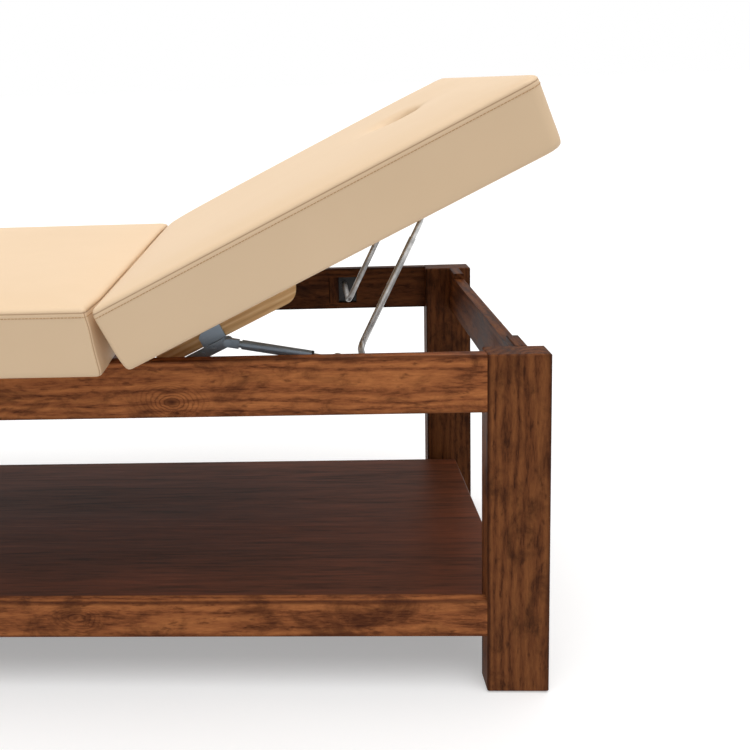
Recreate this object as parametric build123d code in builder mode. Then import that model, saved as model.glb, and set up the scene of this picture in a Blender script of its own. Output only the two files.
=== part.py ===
"""Wooden massage table with a lift-up backrest, a folding prop and a locking strut.

Lengths are millimetres. X runs from the foot end to the head end, Y away from the front side, and Z
up from the floor. The origin is on the floor under the middle of the table's outline. The backrest is
modelled raised, in a frame of its own whose origin is the hinge axis.
"""

import os
from math import asin, cos, degrees, hypot, radians, sin

from build123d import *

# Overall sizes
frame_length = 1790
frame_depth = 606
frame_height = 550
pad_overhang = 57
pad_thickness = 98
foot_overhang = 35

# Legs
leg_width = 95
leg_depth = 40
leg_edge = 2
foot_edge = 4

# Rails under the cushions
rail_thickness = 20
rail_height = 90
rail_setback = 1
rail_edge = 1.5
end_rail_inset = 25
landing_length = 52
step_depth = 12
cross_rail_height = 60
cross_rail_thickness = 20
cross_rail_gap = 27
cross_rail_shares = (0, 0.39, 0.78)

# Joints in the timber
tenon_thickness = 10
tenon_length = 25
tenon_shoulder = 15
stub_tenon_length = 8
glue_gap = 0.2

# Shelf
shelf_rail_height = 60
shelf_rail_bottom = 95
shelf_thickness = 18
shelf_recess = 33
shelf_reach = 57
shelf_back_gap = 16
shelf_gap = 0.5
ledger_size = 20
shelf_end_inset = 55
batten_height = 30
batten_width = 40
batten_shares = (-0.25, 0, 0.25)

# Cushion boards
board_thickness = 15
board_margin = 9
board_corner = 12
end_board_thickness = 18
end_board_skin = 7
end_board_inset = 40
seat_gap = 0.3

# Cushion form
pad_foot_radius = 35
pad_hinge_radius = 14
pad_side_pull = 2.5
pad_bottom_round = 6
pad_bottom_rise = 9
pad_seam_round = 2.5
pad_seam_drop = 8
pad_crown = 8
pad_shoulder = 14
pad_crown_run = 48
pad_flat_run = 130
pad_waist = 1.5
pad_undercut = 11.5
back_pad_nose = 8.5
flat_pad_lean = 15
crown_shares = (0.45, 0.85)

# Face slot in the backrest
slot_from_end = 149.5
slot_length = 76
slot_width = 66
slot_flare = 12

# Hinge between the cushions
tilt = 26.4
hinge_from_head = 656.5
hinge_drop = 80
hinge_gap = 7
back_length = 685.5
slot_distance = back_length - slot_from_end
knuckle_radius = 4.5
knuckle_count = 5
knuckle_gap = 0.3
hinge_pin_radius = 2.5
leaf_thickness = 2.5
leaf_width = 90
leaf_height = 60
leaf_relief = 5.2
notch_margin = 1
hinge_from_side = 130
hinge_screw_spacing = 60
hinge_screw_rows = (16, 44)
hinge_screw_length = 22
running_gap = 0.05

# Screws
screw_radius = 2
screw_head_radius = 4
screw_head_height = 2.2
small_screw_length = 14
board_screw_length = 50
board_screw_grip = 10
board_screw_spacing = 340

# Prop
pivot_from_head = 271
pivot_drop = 36
prop_angle = 64.2
prop_length = 244
prop_from_rail = 134
tube_radius = 5.5
tube_bore_radius = 4.55
tube_length = 206
rod_radius = 4.5
rod_overlap = 40
prop_bend = 15
crossbar_clearance = 0.7
foot_clearance = 0.3

# Pockets in the side rails that hold the prop's feet
pocket_before = 35
pocket_after = 26
pocket_height = 58
pocket_below = 41
pocket_depth = 12
pivot_block_width = 22
pivot_plate_thickness = 3

# Bearers, studs and runners under the backrest
bearer_from_rail = 34
bearer_width = 45
bearer_height = 48
bearer_start = 10
bearer_end = 260
bearer_round = 26
bearer_tail_round = 12
bearer_screw_length = 58
bearer_screw_shares = (0.12, 0.5, 0.85)
runner_inset = 28
runner_width = 14
runner_gap = 0.5
runner_tail = 14
runner_shares = (1, 0.9, 0.8, 0.65, 0.5, 0.35, 0.24, 0.13)
path_step = 0.01
stud_distance = 300
stud_radius = 4
stud_length = 30
stud_grip = 10
stud_nut_radius = 7
stud_nut_height = 6.5
stud_nut_sides = 6

# Strut
strut_from_rail = 22
strut_base_from_head = 314
strut_base_drop = 17
strut_pin_radius = 4
strut_rod_radius = 4
strut_tube_radius = 7.5
strut_eye_radius = 9
strut_eye_width = 10
strut_neck = 22
strut_collar_length = 4
strut_collar_radius = 5.5
strut_rod_inset = 14
strut_tube_start = 42
strut_seal_length = 4
lug_width = 14
lug_thickness = 7.4
rivet_head_radius = 6.5
rivet_head = 2
side_gap = 0.3
clip_radius = 7
clip_thickness = 1.5
bracket_width = 24
bracket_above = 11
bracket_below = 43
bracket_thickness = 3
bracket_corner = 6
bracket_screw_depths = (19, 35)
boss_radius = 8

# Arm and plate that carry the strut on the front bearer
arm_tip_distance = 125
arm_tip_depth = 56
arm_length = 70
arm_height = 16
arm_thickness = 5
arm_rivet_radius = 4
arm_rivet_spacing = 20
plate_length = 40
plate_top_depth = 20
plate_thickness = 3
plate_cut = 12
plate_screw_depth = 32
plate_screw_spacing = 22

# Places worked out from the sizes above
total_length = frame_length + foot_overhang
head_face = total_length / 2
foot_face = head_face - frame_length
half_depth = frame_depth / 2
leg_inner = half_depth - leg_depth
rail_outer = half_depth - rail_setback
rail_inner = rail_outer - rail_thickness
pad_width = frame_depth + 2 * pad_overhang
hinge_spacing = pad_width / 2 - hinge_from_side
prop_half_width = rail_inner - prop_from_rail
runner_distance = prop_half_width - runner_inset
bearer_inner = rail_inner - bearer_from_rail - bearer_width
strut_plane = rail_inner - strut_from_rail
rail_middle_y = rail_outer - rail_thickness / 2
rail_middle_z = frame_height - rail_height / 2
rail_start = foot_face + leg_width
rail_end = head_face - leg_width
rail_span = rail_end - rail_start
rail_middle = (rail_start + rail_end) / 2
hinge_x = head_face - hinge_from_head
hinge_z = frame_height + seat_gap + hinge_drop
half_gap = hinge_gap / 2
shelf_top = shelf_rail_bottom + shelf_rail_height - shelf_recess
shelf_under = shelf_top - shelf_thickness
strut_x = head_face - strut_base_from_head
strut_base_height = frame_height - strut_base_drop
pivot_x = head_face - pivot_from_head
pivot_height = frame_height - pivot_drop

# The backrest's frame turns about the hinge axis, and the prop's about its feet
back_frame = Plane(
    origin=(hinge_x, 0, hinge_z),
    x_dir=(cos(radians(tilt)), 0, sin(radians(tilt))),
    z_dir=(-sin(radians(tilt)), 0, cos(radians(tilt))),
)
under_frame = back_frame.offset(-hinge_drop)
prop_frame = Plane(
    origin=(pivot_x, 0, pivot_height),
    x_dir=(cos(radians(prop_angle)), 0, sin(radians(prop_angle))),
    z_dir=(-sin(radians(prop_angle)), 0, cos(radians(prop_angle))),
)

# The prop lies down until its crossbar is just under the flat backrest
crossbar_flat_z = frame_height - rod_radius - crossbar_clearance
prop_flat_angle = degrees(asin((crossbar_flat_z - pivot_height) / prop_length))


def side_view(frame, y):
    """A plane seen from the front, whose x and y are the given frame's x and z."""
    return Plane(origin=frame.origin + Vector(0, y, 0), x_dir=frame.x_dir, z_dir=(0, -1, 0))


def save(piece, name):
    """Label a finished piece and write its STEP file."""
    piece.part.label = name
    export_step(piece.part, f"parts/{name}.step")


def add_screws(places, length):
    """Countersunk screws with their heads flush at the places, running down each place's z."""
    with Locations(*places):
        Cylinder(screw_radius, length, align=(Align.CENTER, Align.CENTER, Align.MAX))
        Cone(
            screw_radius,
            screw_head_radius,
            screw_head_height,
            align=(Align.CENTER, Align.CENTER, Align.MAX),
        )


def cut_screws(places, length):
    """The holes for such screws, a little wider than the screws."""
    with Locations(*places):
        Cylinder(
            screw_radius + running_gap,
            length + running_gap,
            align=(Align.CENTER, Align.CENTER, Align.MAX),
            mode=Mode.SUBTRACT,
        )
        Cone(
            screw_radius + running_gap,
            screw_head_radius + running_gap,
            screw_head_height,
            align=(Align.CENTER, Align.CENTER, Align.MAX),
            mode=Mode.SUBTRACT,
        )


os.makedirs("parts", exist_ok=True)


# Legs: square-cut posts with eased edges and a mortise for each rail that meets them
leg_xs = {"head": head_face - leg_width / 2, "foot": foot_face + leg_width / 2}
leg_sides = {"front": -1, "rear": 1}
end_rail_offset = end_rail_inset + rail_thickness / 2
end_rail_xs = {"head": head_face - end_rail_offset, "foot": foot_face + end_rail_offset}
shelf_end_xs = {"head": head_face - shelf_end_inset, "foot": foot_face + shelf_end_inset}
shelf_rail_ys = {"front": -rail_middle_y, "rear": leg_inner + rail_thickness / 2}
low_shelf_z = shelf_under - shelf_rail_height / 2
shelf_rail_zs = {"front": shelf_rail_bottom + shelf_rail_height / 2, "rear": low_shelf_z}
rail_tenon_height = rail_height - 2 * tenon_shoulder
shelf_tenon_height = shelf_rail_height - 2 * tenon_shoulder
end_tenon_length = leg_depth - tenon_shoulder


def cut_mortise(middle, length, width, height):
    """A mortise with room for glue round its tenon."""
    with Locations(middle):
        Box(length, width, height + 2 * glue_gap, mode=Mode.SUBTRACT)


for end, leg_x in leg_xs.items():
    for side, sign in leg_sides.items():
        inward = -1 if end == "head" else 1
        long_mortise = tenon_length + glue_gap
        cross_mortise = end_tenon_length + glue_gap
        mortise_width = tenon_thickness + 2 * glue_gap
        mortise_x = leg_x + inward * (leg_width - long_mortise) / 2
        mortise_y = sign * (leg_inner + cross_mortise / 2)
        with BuildPart() as leg:
            with Locations((leg_x, sign * (half_depth - leg_depth / 2), frame_height / 2)):
                Box(leg_width, leg_depth, frame_height)
            chamfer(leg.faces().sort_by(Axis.Z)[0].edges(), foot_edge)
            top_edges = leg.faces().sort_by(Axis.Z)[-1].edges()
            chamfer(leg.edges().filter_by(Axis.Z) + top_edges, leg_edge)
            rail_place = (mortise_x, sign * rail_middle_y, rail_middle_z)
            cut_mortise(rail_place, long_mortise, mortise_width, rail_tenon_height)
            shelf_place = (mortise_x, shelf_rail_ys[side], shelf_rail_zs[side])
            cut_mortise(shelf_place, long_mortise, mortise_width, shelf_tenon_height)
            end_place = (end_rail_xs[end], mortise_y, rail_middle_z)
            cut_mortise(end_place, mortise_width, cross_mortise, rail_tenon_height)
            low_place = (shelf_end_xs[end], mortise_y, low_shelf_z)
            cut_mortise(low_place, mortise_width, cross_mortise, shelf_tenon_height)
        save(leg, f"leg_{side}_{end}")


# Side rails, with a pocket for the prop's foot and blind mortises for the cross rails
first_cross_x = hinge_x - cross_rail_gap - cross_rail_thickness / 2
cross_rail_xs = [first_cross_x - share * (first_cross_x - rail_start) for share in cross_rail_shares]
cross_tenon_height = cross_rail_height - 2 * tenon_shoulder
cross_rail_z = frame_height - cross_rail_height / 2
pocket_length = pocket_before + pocket_after
pocket_x = pivot_x + (pocket_after - pocket_before) / 2
pocket_z = pivot_height - pocket_below + pocket_height / 2
bracket_face = -rail_inner + bracket_thickness
bracket_screw_places = [
    Location((strut_x, bracket_face, strut_base_height - depth), (-90, 0, 0))
    for depth in bracket_screw_depths
]

for side, sign in leg_sides.items():
    with BuildPart() as side_rail:
        with Locations((rail_middle, sign * rail_middle_y, rail_middle_z)):
            Box(rail_span, rail_thickness, rail_height)
            chamfer(side_rail.edges().filter_by(Axis.X), rail_edge)
            Box(rail_span + 2 * tenon_length, tenon_thickness, rail_tenon_height)
        for rail_x in cross_rail_xs:
            stub_mortise = stub_tenon_length + glue_gap
            place = (rail_x, sign * (rail_inner + stub_mortise / 2), cross_rail_z)
            cut_mortise(place, tenon_thickness + 2 * glue_gap, stub_mortise, cross_tenon_height)
        with Locations((pocket_x, sign * (rail_inner + pocket_depth / 2), pocket_z)):
            Box(pocket_length, pocket_depth, pocket_height, mode=Mode.SUBTRACT)
        if side == "front":
            cut_screws(bracket_screw_places, small_screw_length)
    save(side_rail, f"side_rail_{side}")


# End rails between the legs: the head one is stepped down to receive the prop's crossbar
end_span = 2 * leg_inner
for end, rail_x in end_rail_xs.items():
    with BuildPart() as end_rail:
        with Locations((rail_x, 0, rail_middle_z)):
            Box(rail_thickness, end_span, rail_height)
            chamfer(end_rail.edges().filter_by(Axis.Y), rail_edge)
            Box(tenon_thickness, end_span + 2 * end_tenon_length, rail_tenon_height)
        if end == "head":
            step_length = end_span - 2 * landing_length
            with Locations((rail_x, 0, frame_height - step_depth / 2)):
                Box(rail_thickness, step_length, step_depth, mode=Mode.SUBTRACT)
    save(end_rail, f"end_rail_{end}")


# Cross rails under the flat section, drilled from below for the screws into its board
screw_seat_z = frame_height + board_screw_grip - board_screw_length


def board_screw_places(xs):
    """Head places of the screws that run up through the cross rails into the board."""
    return [
        Location((x, sign * board_screw_spacing / 2, screw_seat_z), (180, 0, 0))
        for x in xs
        for sign in (-1, 1)
    ]


for number, rail_x in enumerate(cross_rail_xs):
    with BuildPart() as cross_rail:
        with Locations((rail_x, 0, cross_rail_z)):
            Box(cross_rail_thickness, 2 * rail_inner, cross_rail_height)
            chamfer(cross_rail.faces().sort_by(Axis.Z)[0].edges().filter_by(Axis.Y), rail_edge)
            Box(tenon_thickness, 2 * (rail_inner + stub_tenon_length), cross_tenon_height)
        cut_screws(board_screw_places([rail_x]), board_screw_length)
        with Locations(*board_screw_places([rail_x])):
            Cylinder(
                screw_head_radius + running_gap,
                cross_rail_height,
                align=(Align.CENTER, Align.CENTER, Align.MIN),
                mode=Mode.SUBTRACT,
            )
    save(cross_rail, f"cross_rail_{number + 1}")

with BuildPart() as flat_board_screws:
    add_screws(board_screw_places(cross_rail_xs), board_screw_length)
save(flat_board_screws, "flat_board_screws")


# Shelf rails: the front one stands proud of the board, the rear one hides below it
for side in leg_sides:
    with BuildPart() as shelf_rail:
        with Locations((rail_middle, shelf_rail_ys[side], shelf_rail_zs[side])):
            Box(rail_span, rail_thickness, shelf_rail_height)
            chamfer(shelf_rail.edges().filter_by(Axis.X), rail_edge)
            Box(rail_span + 2 * tenon_length, tenon_thickness, shelf_tenon_height)
    save(shelf_rail, f"shelf_rail_{side}")

for end, rail_x in shelf_end_xs.items():
    with BuildPart() as shelf_end_rail:
        with Locations((rail_x, 0, low_shelf_z)):
            Box(rail_thickness, end_span, shelf_rail_height)
            chamfer(shelf_end_rail.edges().filter_by(Axis.Y), rail_edge)
            Box(tenon_thickness, end_span + 2 * end_tenon_length, shelf_tenon_height)
    save(shelf_end_rail, f"shelf_end_rail_{end}")

# Ledger strips carry the board's long edges, and battens stiffen it between them
ledger_widths = {"front": ledger_size, "rear": ledger_size + shelf_back_gap}
batten_front = -rail_inner + ledger_widths["front"]
batten_rear = leg_inner - ledger_widths["rear"]
ledger_ys = {"front": (-rail_inner + batten_front) / 2, "rear": (leg_inner + batten_rear) / 2}
for side, ledger_y in ledger_ys.items():
    with BuildPart() as ledger:
        with Locations((rail_middle, ledger_y, shelf_under - ledger_size / 2)):
            Box(rail_span, ledger_widths[side], ledger_size)
        chamfer(ledger.faces().sort_by(Axis.Z)[0].edges().filter_by(Axis.X), rail_edge)
    save(ledger, f"shelf_ledger_{side}")

for number, share in enumerate(batten_shares):
    with BuildPart() as batten:
        batten_x = rail_middle + share * rail_span
        with Locations((batten_x, (batten_front + batten_rear) / 2, shelf_under - batten_height / 2)):
            Box(batten_width, batten_rear - batten_front, batten_height)
        chamfer(batten.faces().sort_by(Axis.Z)[0].edges().filter_by(Axis.Y), rail_edge)
    save(batten, f"shelf_batten_{number + 1}")

# The board reaches past the rails between the legs, and is notched round the front legs
board_foot = rail_start - shelf_reach
board_head = rail_end + shelf_reach
board_rear = leg_inner - shelf_back_gap
notch_y = -leg_inner + shelf_gap
front_y = -rail_inner + shelf_gap
with BuildPart() as shelf_board:
    with BuildSketch(Plane.XY.offset(shelf_under)):
        with BuildLine():
            Polyline(
                (board_foot, board_rear),
                (board_head, board_rear),
                (board_head, notch_y),
                (rail_end - shelf_gap, notch_y),
                (rail_end - shelf_gap, front_y),
                (rail_start + shelf_gap, front_y),
                (rail_start + shelf_gap, notch_y),
                (board_foot, notch_y),
                close=True,
            )
        make_face()
    extrude(amount=shelf_thickness)
    chamfer(shelf_board.faces().sort_by(Axis.Z)[-1].edges(), rail_edge)
save(shelf_board, "shelf_board")


# Pivot blocks and plates in the rail pockets
plate_room = pocket_length - pivot_block_width
for side, sign in leg_sides.items():
    block_x = pivot_x - pocket_before + pivot_block_width / 2
    with BuildPart() as pivot_block:
        with Locations((block_x, sign * (rail_inner + pocket_depth / 2), pocket_z)):
            Box(pivot_block_width, pocket_depth, pocket_height)
        chamfer(pivot_block.edges().filter_by(Axis.Z), rail_edge)
    save(pivot_block, f"pivot_block_{side}")

    plate_y = sign * (rail_inner + pocket_depth - pivot_plate_thickness / 2)
    with BuildPart() as pivot_plate:
        with Locations((pivot_x + pocket_after - plate_room / 2, plate_y, pocket_z)):
            Box(plate_room, pivot_plate_thickness, pocket_height)
        with Locations(Location((pivot_x, plate_y, pivot_height), (90, 0, 0))):
            Cylinder(tube_radius + running_gap, pivot_plate_thickness, mode=Mode.SUBTRACT)
    save(pivot_plate, f"pivot_plate_{side}")


# Strut bracket on the front rail, with the pin that the strut's eye turns on and its clip
eye_front = -strut_plane - strut_eye_width / 2
clip_face = -strut_plane + strut_eye_width / 2 + side_gap
with BuildPart() as strut_bracket:
    bracket_height = bracket_above + bracket_below
    bracket_z = strut_base_height + bracket_above - bracket_height / 2
    with Locations((strut_x, -rail_inner + bracket_thickness / 2, bracket_z)):
        Box(bracket_width, bracket_thickness, bracket_height)
    fillet(strut_bracket.edges().filter_by(Axis.Y), bracket_corner)
    with Locations(Location((strut_x, bracket_face, strut_base_height), (-90, 0, 0))):
        Cylinder(
            boss_radius,
            eye_front - side_gap - bracket_face,
            align=(Align.CENTER, Align.CENTER, Align.MIN),
        )
        Cylinder(
            strut_pin_radius,
            clip_face + 2 * clip_thickness - bracket_face,
            align=(Align.CENTER, Align.CENTER, Align.MIN),
        )
    cut_screws(bracket_screw_places, small_screw_length)
save(strut_bracket, "strut_bracket")

with BuildPart() as strut_clip:
    with Locations(Location((strut_x, clip_face + clip_thickness / 2, strut_base_height), (90, 0, 0))):
        Cylinder(clip_radius, clip_thickness)
        Cylinder(strut_pin_radius + running_gap, clip_thickness, mode=Mode.SUBTRACT)
save(strut_clip, "strut_clip")

with BuildPart() as strut_bracket_screws:
    add_screws(bracket_screw_places, small_screw_length)
save(strut_bracket_screws, "strut_bracket_screws")


# Cushions: drawn-in sides, a seam round the top edge and a crowned top, on a board and an end board
flat_end = hinge_x - half_gap
flat_start = foot_face - foot_overhang
flat_frame = Plane.XY.offset(frame_height)
hinge_frame = Plane((hinge_x, 0, hinge_z))
hinge_ys = (-hinge_spacing, 0, hinge_spacing)
end_board_height = hinge_drop - leaf_relief - board_thickness
end_board_z = -leaf_relief - end_board_height / 2
end_board_x = half_gap + end_board_skin + end_board_thickness / 2
end_board_width = pad_width - 2 * end_board_inset


def pad_level(frame, hinge_end, far_end, inset):
    """One level of a cushion: straight at the hinge, drawn in between the corners elsewhere."""
    way = 1 if far_end > hinge_end else -1
    near = hinge_end + way * inset
    far = far_end - way * inset
    half = pad_width / 2 - inset
    middle = (near + far) / 2
    with BuildSketch(frame) as level:
        with BuildLine():
            Line((near, half), (near, -half))
            ThreePointArc((near, -half), (middle, -half + pad_side_pull), (far, -half))
            ThreePointArc((far, -half), (far - way * pad_side_pull, 0), (far, half))
            ThreePointArc((far, half), (middle, half - pad_side_pull), (near, half))
        make_face()
        corners = level.vertices().sort_by(Axis.X)
        fillet(corners[:2] if way > 0 else corners[-2:], pad_hinge_radius + inset / 2)
        corners = level.vertices().sort_by(Axis.X)
        fillet(corners[-2:] if way > 0 else corners[:2], pad_foot_radius + inset / 2)
    return level.sketch


def pad_levels(frame, hinge_end, far_end, nose, undercut):
    """The levels of a cushion from its underside up, each at a height with its inset and end shifts."""
    way = 1 if far_end > hinge_end else -1
    lean_start = hinge_drop - leaf_height / 4
    reach = undercut / pad_thickness
    levels = [
        (0, pad_bottom_round, 0, 0),
        (pad_bottom_rise, 0, 0, pad_bottom_rise * reach),
        (pad_thickness / 2, pad_waist, 0, pad_thickness / 2 * reach),
        (lean_start, 0, 0, lean_start * reach),
        (pad_thickness - pad_seam_drop, 0, nose, undercut),
        (pad_thickness, pad_seam_round, nose, undercut),
        (pad_thickness + pad_crown * crown_shares[0], pad_shoulder, nose, undercut),
        (pad_thickness + pad_crown * crown_shares[1], pad_crown_run, nose, undercut),
        (pad_thickness + pad_crown, pad_flat_run, nose, undercut),
    ]
    return [
        pad_level(frame.offset(height), hinge_end - way * shift, far_end + way * stretch, inset)
        for height, inset, shift, stretch in levels
    ]


def board_outline(start, end):
    """A cushion board with rounded corners."""
    with Locations(((start + end) / 2, 0)):
        RectangleRounded(end - start, pad_width - 2 * board_margin, board_corner)


def hinge_screw_places(way):
    """Heads of the hinge screws, flush with the inner face of each leaf, from the hinge axis."""
    return [
        Location((way * (half_gap - leaf_thickness), y + sign * hinge_screw_spacing / 2, -leaf_relief - row),
                 (0, -90 * way, 0))
        for y in hinge_ys
        for sign in (-1, 1)
        for row in hinge_screw_rows
    ]


with BuildPart() as flat_board:
    with BuildSketch(flat_frame):
        board_outline(flat_start + board_margin, flat_end - end_board_skin)
    extrude(amount=board_thickness)
    cut_screws(board_screw_places(cross_rail_xs), board_screw_length)
save(flat_board, "flat_board")

with BuildPart(hinge_frame) as flat_end_board:
    with Locations((-end_board_x, 0, end_board_z - seat_gap)):
        Box(end_board_thickness, end_board_width, end_board_height)
    cut_screws(hinge_screw_places(-1), hinge_screw_length)
save(flat_end_board, "flat_end_board")

with BuildPart(hinge_frame) as flat_cushion:
    loft(sections=pad_levels(flat_frame, flat_end, flat_start, -flat_pad_lean, 0), ruled=True)
    with BuildSketch(flat_frame):
        board_outline(flat_start + board_margin, flat_end - end_board_skin)
    extrude(amount=board_thickness, mode=Mode.SUBTRACT)
    with Locations((-end_board_x, 0, end_board_z - seat_gap)):
        Box(end_board_thickness, end_board_width, end_board_height, mode=Mode.SUBTRACT)
    cut_screws(hinge_screw_places(-1), hinge_screw_length)
save(flat_cushion, "flat_cushion")


# Bearers under the backrest, with rounded lower ends, screwed up into its board
bearer_middle = bearer_inner + bearer_width / 2
bearer_span = bearer_end - bearer_start
bearer_seat = -hinge_drop - bearer_height
bearer_screw_places = [
    Location((bearer_start + share * bearer_span, sign * bearer_middle, bearer_seat), (180, 0, 0))
    for share in bearer_screw_shares
    for sign in (-1, 1)
]
stud_places = [(stud_distance, sign * bearer_middle, -hinge_drop) for sign in (-1, 1)]
plate_face = -bearer_inner - bearer_width
plate_middle = arm_tip_distance - plate_length / 2
plate_screw_places = [
    Location(
        (
            plate_middle + sign * plate_screw_spacing / 2,
            plate_face - plate_thickness,
            -hinge_drop - plate_screw_depth,
        ),
        (90, 0, 0),
    )
    for sign in (-1, 1)
]

for side, sign in leg_sides.items():
    with BuildPart(back_frame) as bearer:
        with BuildSketch(side_view(back_frame, sign * bearer_middle)) as profile:
            with Locations(((bearer_start + bearer_end) / 2, -hinge_drop - bearer_height / 2)):
                Rectangle(bearer_span, bearer_height)
            fillet(profile.vertices().group_by(Axis.Y)[0].sort_by(Axis.X)[-1], bearer_round)
            fillet(profile.vertices().group_by(Axis.Y)[0].sort_by(Axis.X)[0], bearer_tail_round)
        extrude(amount=bearer_width / 2, both=True)
        cut_screws(bearer_screw_places, bearer_screw_length)
        if side == "front":
            cut_screws(plate_screw_places, small_screw_length)
    save(bearer, f"bearer_{side}")

with BuildPart(back_frame) as bearer_screws:
    add_screws(bearer_screw_places, bearer_screw_length)
save(bearer_screws, "bearer_screws")

with BuildPart(back_frame) as bearer_studs:
    with Locations(*stud_places):
        Cylinder(stud_radius, stud_length, align=(Align.CENTER, Align.CENTER, Align.MAX))
        Cylinder(stud_radius, stud_grip, align=(Align.CENTER, Align.CENTER, Align.MIN))
    with BuildSketch(under_frame):
        with Locations(*[(x, y) for x, y, z in stud_places]):
            RegularPolygon(stud_nut_radius, stud_nut_sides)
    extrude(amount=-stud_nut_height)
save(bearer_studs, "bearer_studs")


# The raised cushion, its board and its end board
with BuildPart(back_frame) as back_board:
    with BuildSketch(under_frame):
        board_outline(half_gap + end_board_skin, back_length - board_margin)
        with Locations((slot_distance, 0)):
            Ellipse(slot_length / 2, slot_width / 2, mode=Mode.SUBTRACT)
    extrude(amount=board_thickness)
    cut_screws(bearer_screw_places, bearer_screw_length)
    with Locations(*stud_places):
        Cylinder(
            stud_radius + running_gap,
            stud_grip,
            align=(Align.CENTER, Align.CENTER, Align.MIN),
            mode=Mode.SUBTRACT,
        )
save(back_board, "back_board")

with BuildPart(back_frame) as back_end_board:
    with Locations((end_board_x, 0, end_board_z)):
        Box(end_board_thickness, end_board_width, end_board_height)
    cut_screws(hinge_screw_places(1), hinge_screw_length)
save(back_end_board, "back_end_board")

notch_size = knuckle_radius + notch_margin
with BuildPart(back_frame) as back_cushion:
    loft(sections=pad_levels(under_frame, half_gap, back_length, back_pad_nose, pad_undercut), ruled=True)
    with BuildSketch(under_frame):
        board_outline(half_gap + end_board_skin, back_length - board_margin)
    extrude(amount=board_thickness, mode=Mode.SUBTRACT)
    with Locations((end_board_x, 0, end_board_z)):
        Box(end_board_thickness, end_board_width, end_board_height, mode=Mode.SUBTRACT)
    cut_screws(hinge_screw_places(1), hinge_screw_length)
    for hinge_y in hinge_ys:
        with Locations((half_gap - back_pad_nose, hinge_y, notch_size)):
            Box(
                back_pad_nose,
                leaf_width + 2 * notch_margin,
                leaf_height / 2,
                align=(Align.MIN, Align.CENTER, Align.MAX),
                mode=Mode.SUBTRACT,
            )
        with Locations(Location((0, hinge_y, 0), (90, 0, 0))):
            Cylinder(notch_size, leaf_width + 2 * notch_margin, mode=Mode.SUBTRACT)
    with BuildSketch(under_frame):
        with Locations((slot_distance, 0)):
            Ellipse(slot_length / 2, slot_width / 2)
    extrude(amount=pad_thickness + pad_crown, mode=Mode.SUBTRACT)
    with BuildSketch(under_frame.offset(pad_thickness + pad_crown - slot_flare)):
        with Locations((slot_distance, 0)):
            Ellipse(slot_length / 2, slot_width / 2)
    with BuildSketch(under_frame.offset(pad_thickness + pad_crown)):
        with Locations((slot_distance, 0)):
            Ellipse(slot_length / 2 + slot_flare, slot_width / 2 + slot_flare)
    loft(ruled=True, mode=Mode.SUBTRACT)
save(back_cushion, "back_cushion")


# Butt hinges: plain leaves below knuckles that interleave on one pin
knuckle_pitch = leaf_width / knuckle_count
knuckle_length = knuckle_pitch - knuckle_gap


def hinge_leaves(way, first):
    """Three leaves on one side of the hinge axis, with every second knuckle from the first given."""
    leaf_x = way * (half_gap - leaf_thickness / 2)
    for hinge_y in hinge_ys:
        with Locations((leaf_x, hinge_y, -leaf_relief - leaf_height / 2)):
            Box(leaf_thickness, leaf_width, leaf_height)
        for number in range(first, knuckle_count, 2):
            knuckle_y = hinge_y + (number - (knuckle_count - 1) / 2) * knuckle_pitch
            with Locations((leaf_x, knuckle_y, -leaf_relief / 2)):
                Box(leaf_thickness, knuckle_length, leaf_relief)
            with Locations(Location((0, knuckle_y, 0), (90, 0, 0))):
                Cylinder(knuckle_radius, knuckle_length)
        with Locations(Location((0, hinge_y, 0), (90, 0, 0))):
            Cylinder(hinge_pin_radius + running_gap, leaf_width, mode=Mode.SUBTRACT)
    cut_screws(hinge_screw_places(way), hinge_screw_length)


with BuildPart(hinge_frame) as hinge_leaves_fixed:
    hinge_leaves(-1, 0)
save(hinge_leaves_fixed, "hinge_leaves_fixed")

with BuildPart(back_frame) as hinge_leaves_moving:
    hinge_leaves(1, 1)
save(hinge_leaves_moving, "hinge_leaves_moving")

with BuildPart(hinge_frame) as hinge_pins:
    with Locations(*[Location((0, y, 0), (90, 0, 0)) for y in hinge_ys]):
        Cylinder(hinge_pin_radius, leaf_width)
save(hinge_pins, "hinge_pins")

with BuildPart(hinge_frame) as hinge_screws_fixed:
    add_screws(hinge_screw_places(-1), hinge_screw_length)
save(hinge_screws_fixed, "hinge_screws_fixed")

with BuildPart(back_frame) as hinge_screws_moving:
    add_screws(hinge_screw_places(1), hinge_screw_length)
save(hinge_screws_moving, "hinge_screws_moving")


# Prop: two tubes whose feet are bent out into the rail pockets, joined by a U-shaped rod
foot_end = rail_inner + pocket_depth - foot_clearance
for side, sign in leg_sides.items():
    with BuildPart(prop_frame) as prop_tube:
        with BuildLine(prop_frame) as path:
            FilletPolyline(
                (0, sign * foot_end),
                (0, sign * prop_half_width),
                (tube_length, sign * prop_half_width),
                radius=prop_bend,
            )
        with BuildSketch(Plane(origin=path.line @ 0, z_dir=path.line % 0)):
            Circle(tube_radius)
            Circle(tube_bore_radius, mode=Mode.SUBTRACT)
        sweep()
    save(prop_tube, f"prop_tube_{side}")

rod_start = tube_length - rod_overlap
with BuildPart(prop_frame) as prop_rod:
    with BuildLine(prop_frame) as path:
        FilletPolyline(
            (rod_start, -prop_half_width),
            (prop_length, -prop_half_width),
            (prop_length, prop_half_width),
            (rod_start, prop_half_width),
            radius=prop_bend,
        )
    with BuildSketch(Plane(origin=path.line @ 0, z_dir=path.line % 0)):
        Circle(rod_radius)
    sweep()
save(prop_rod, "prop_rod")


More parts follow.
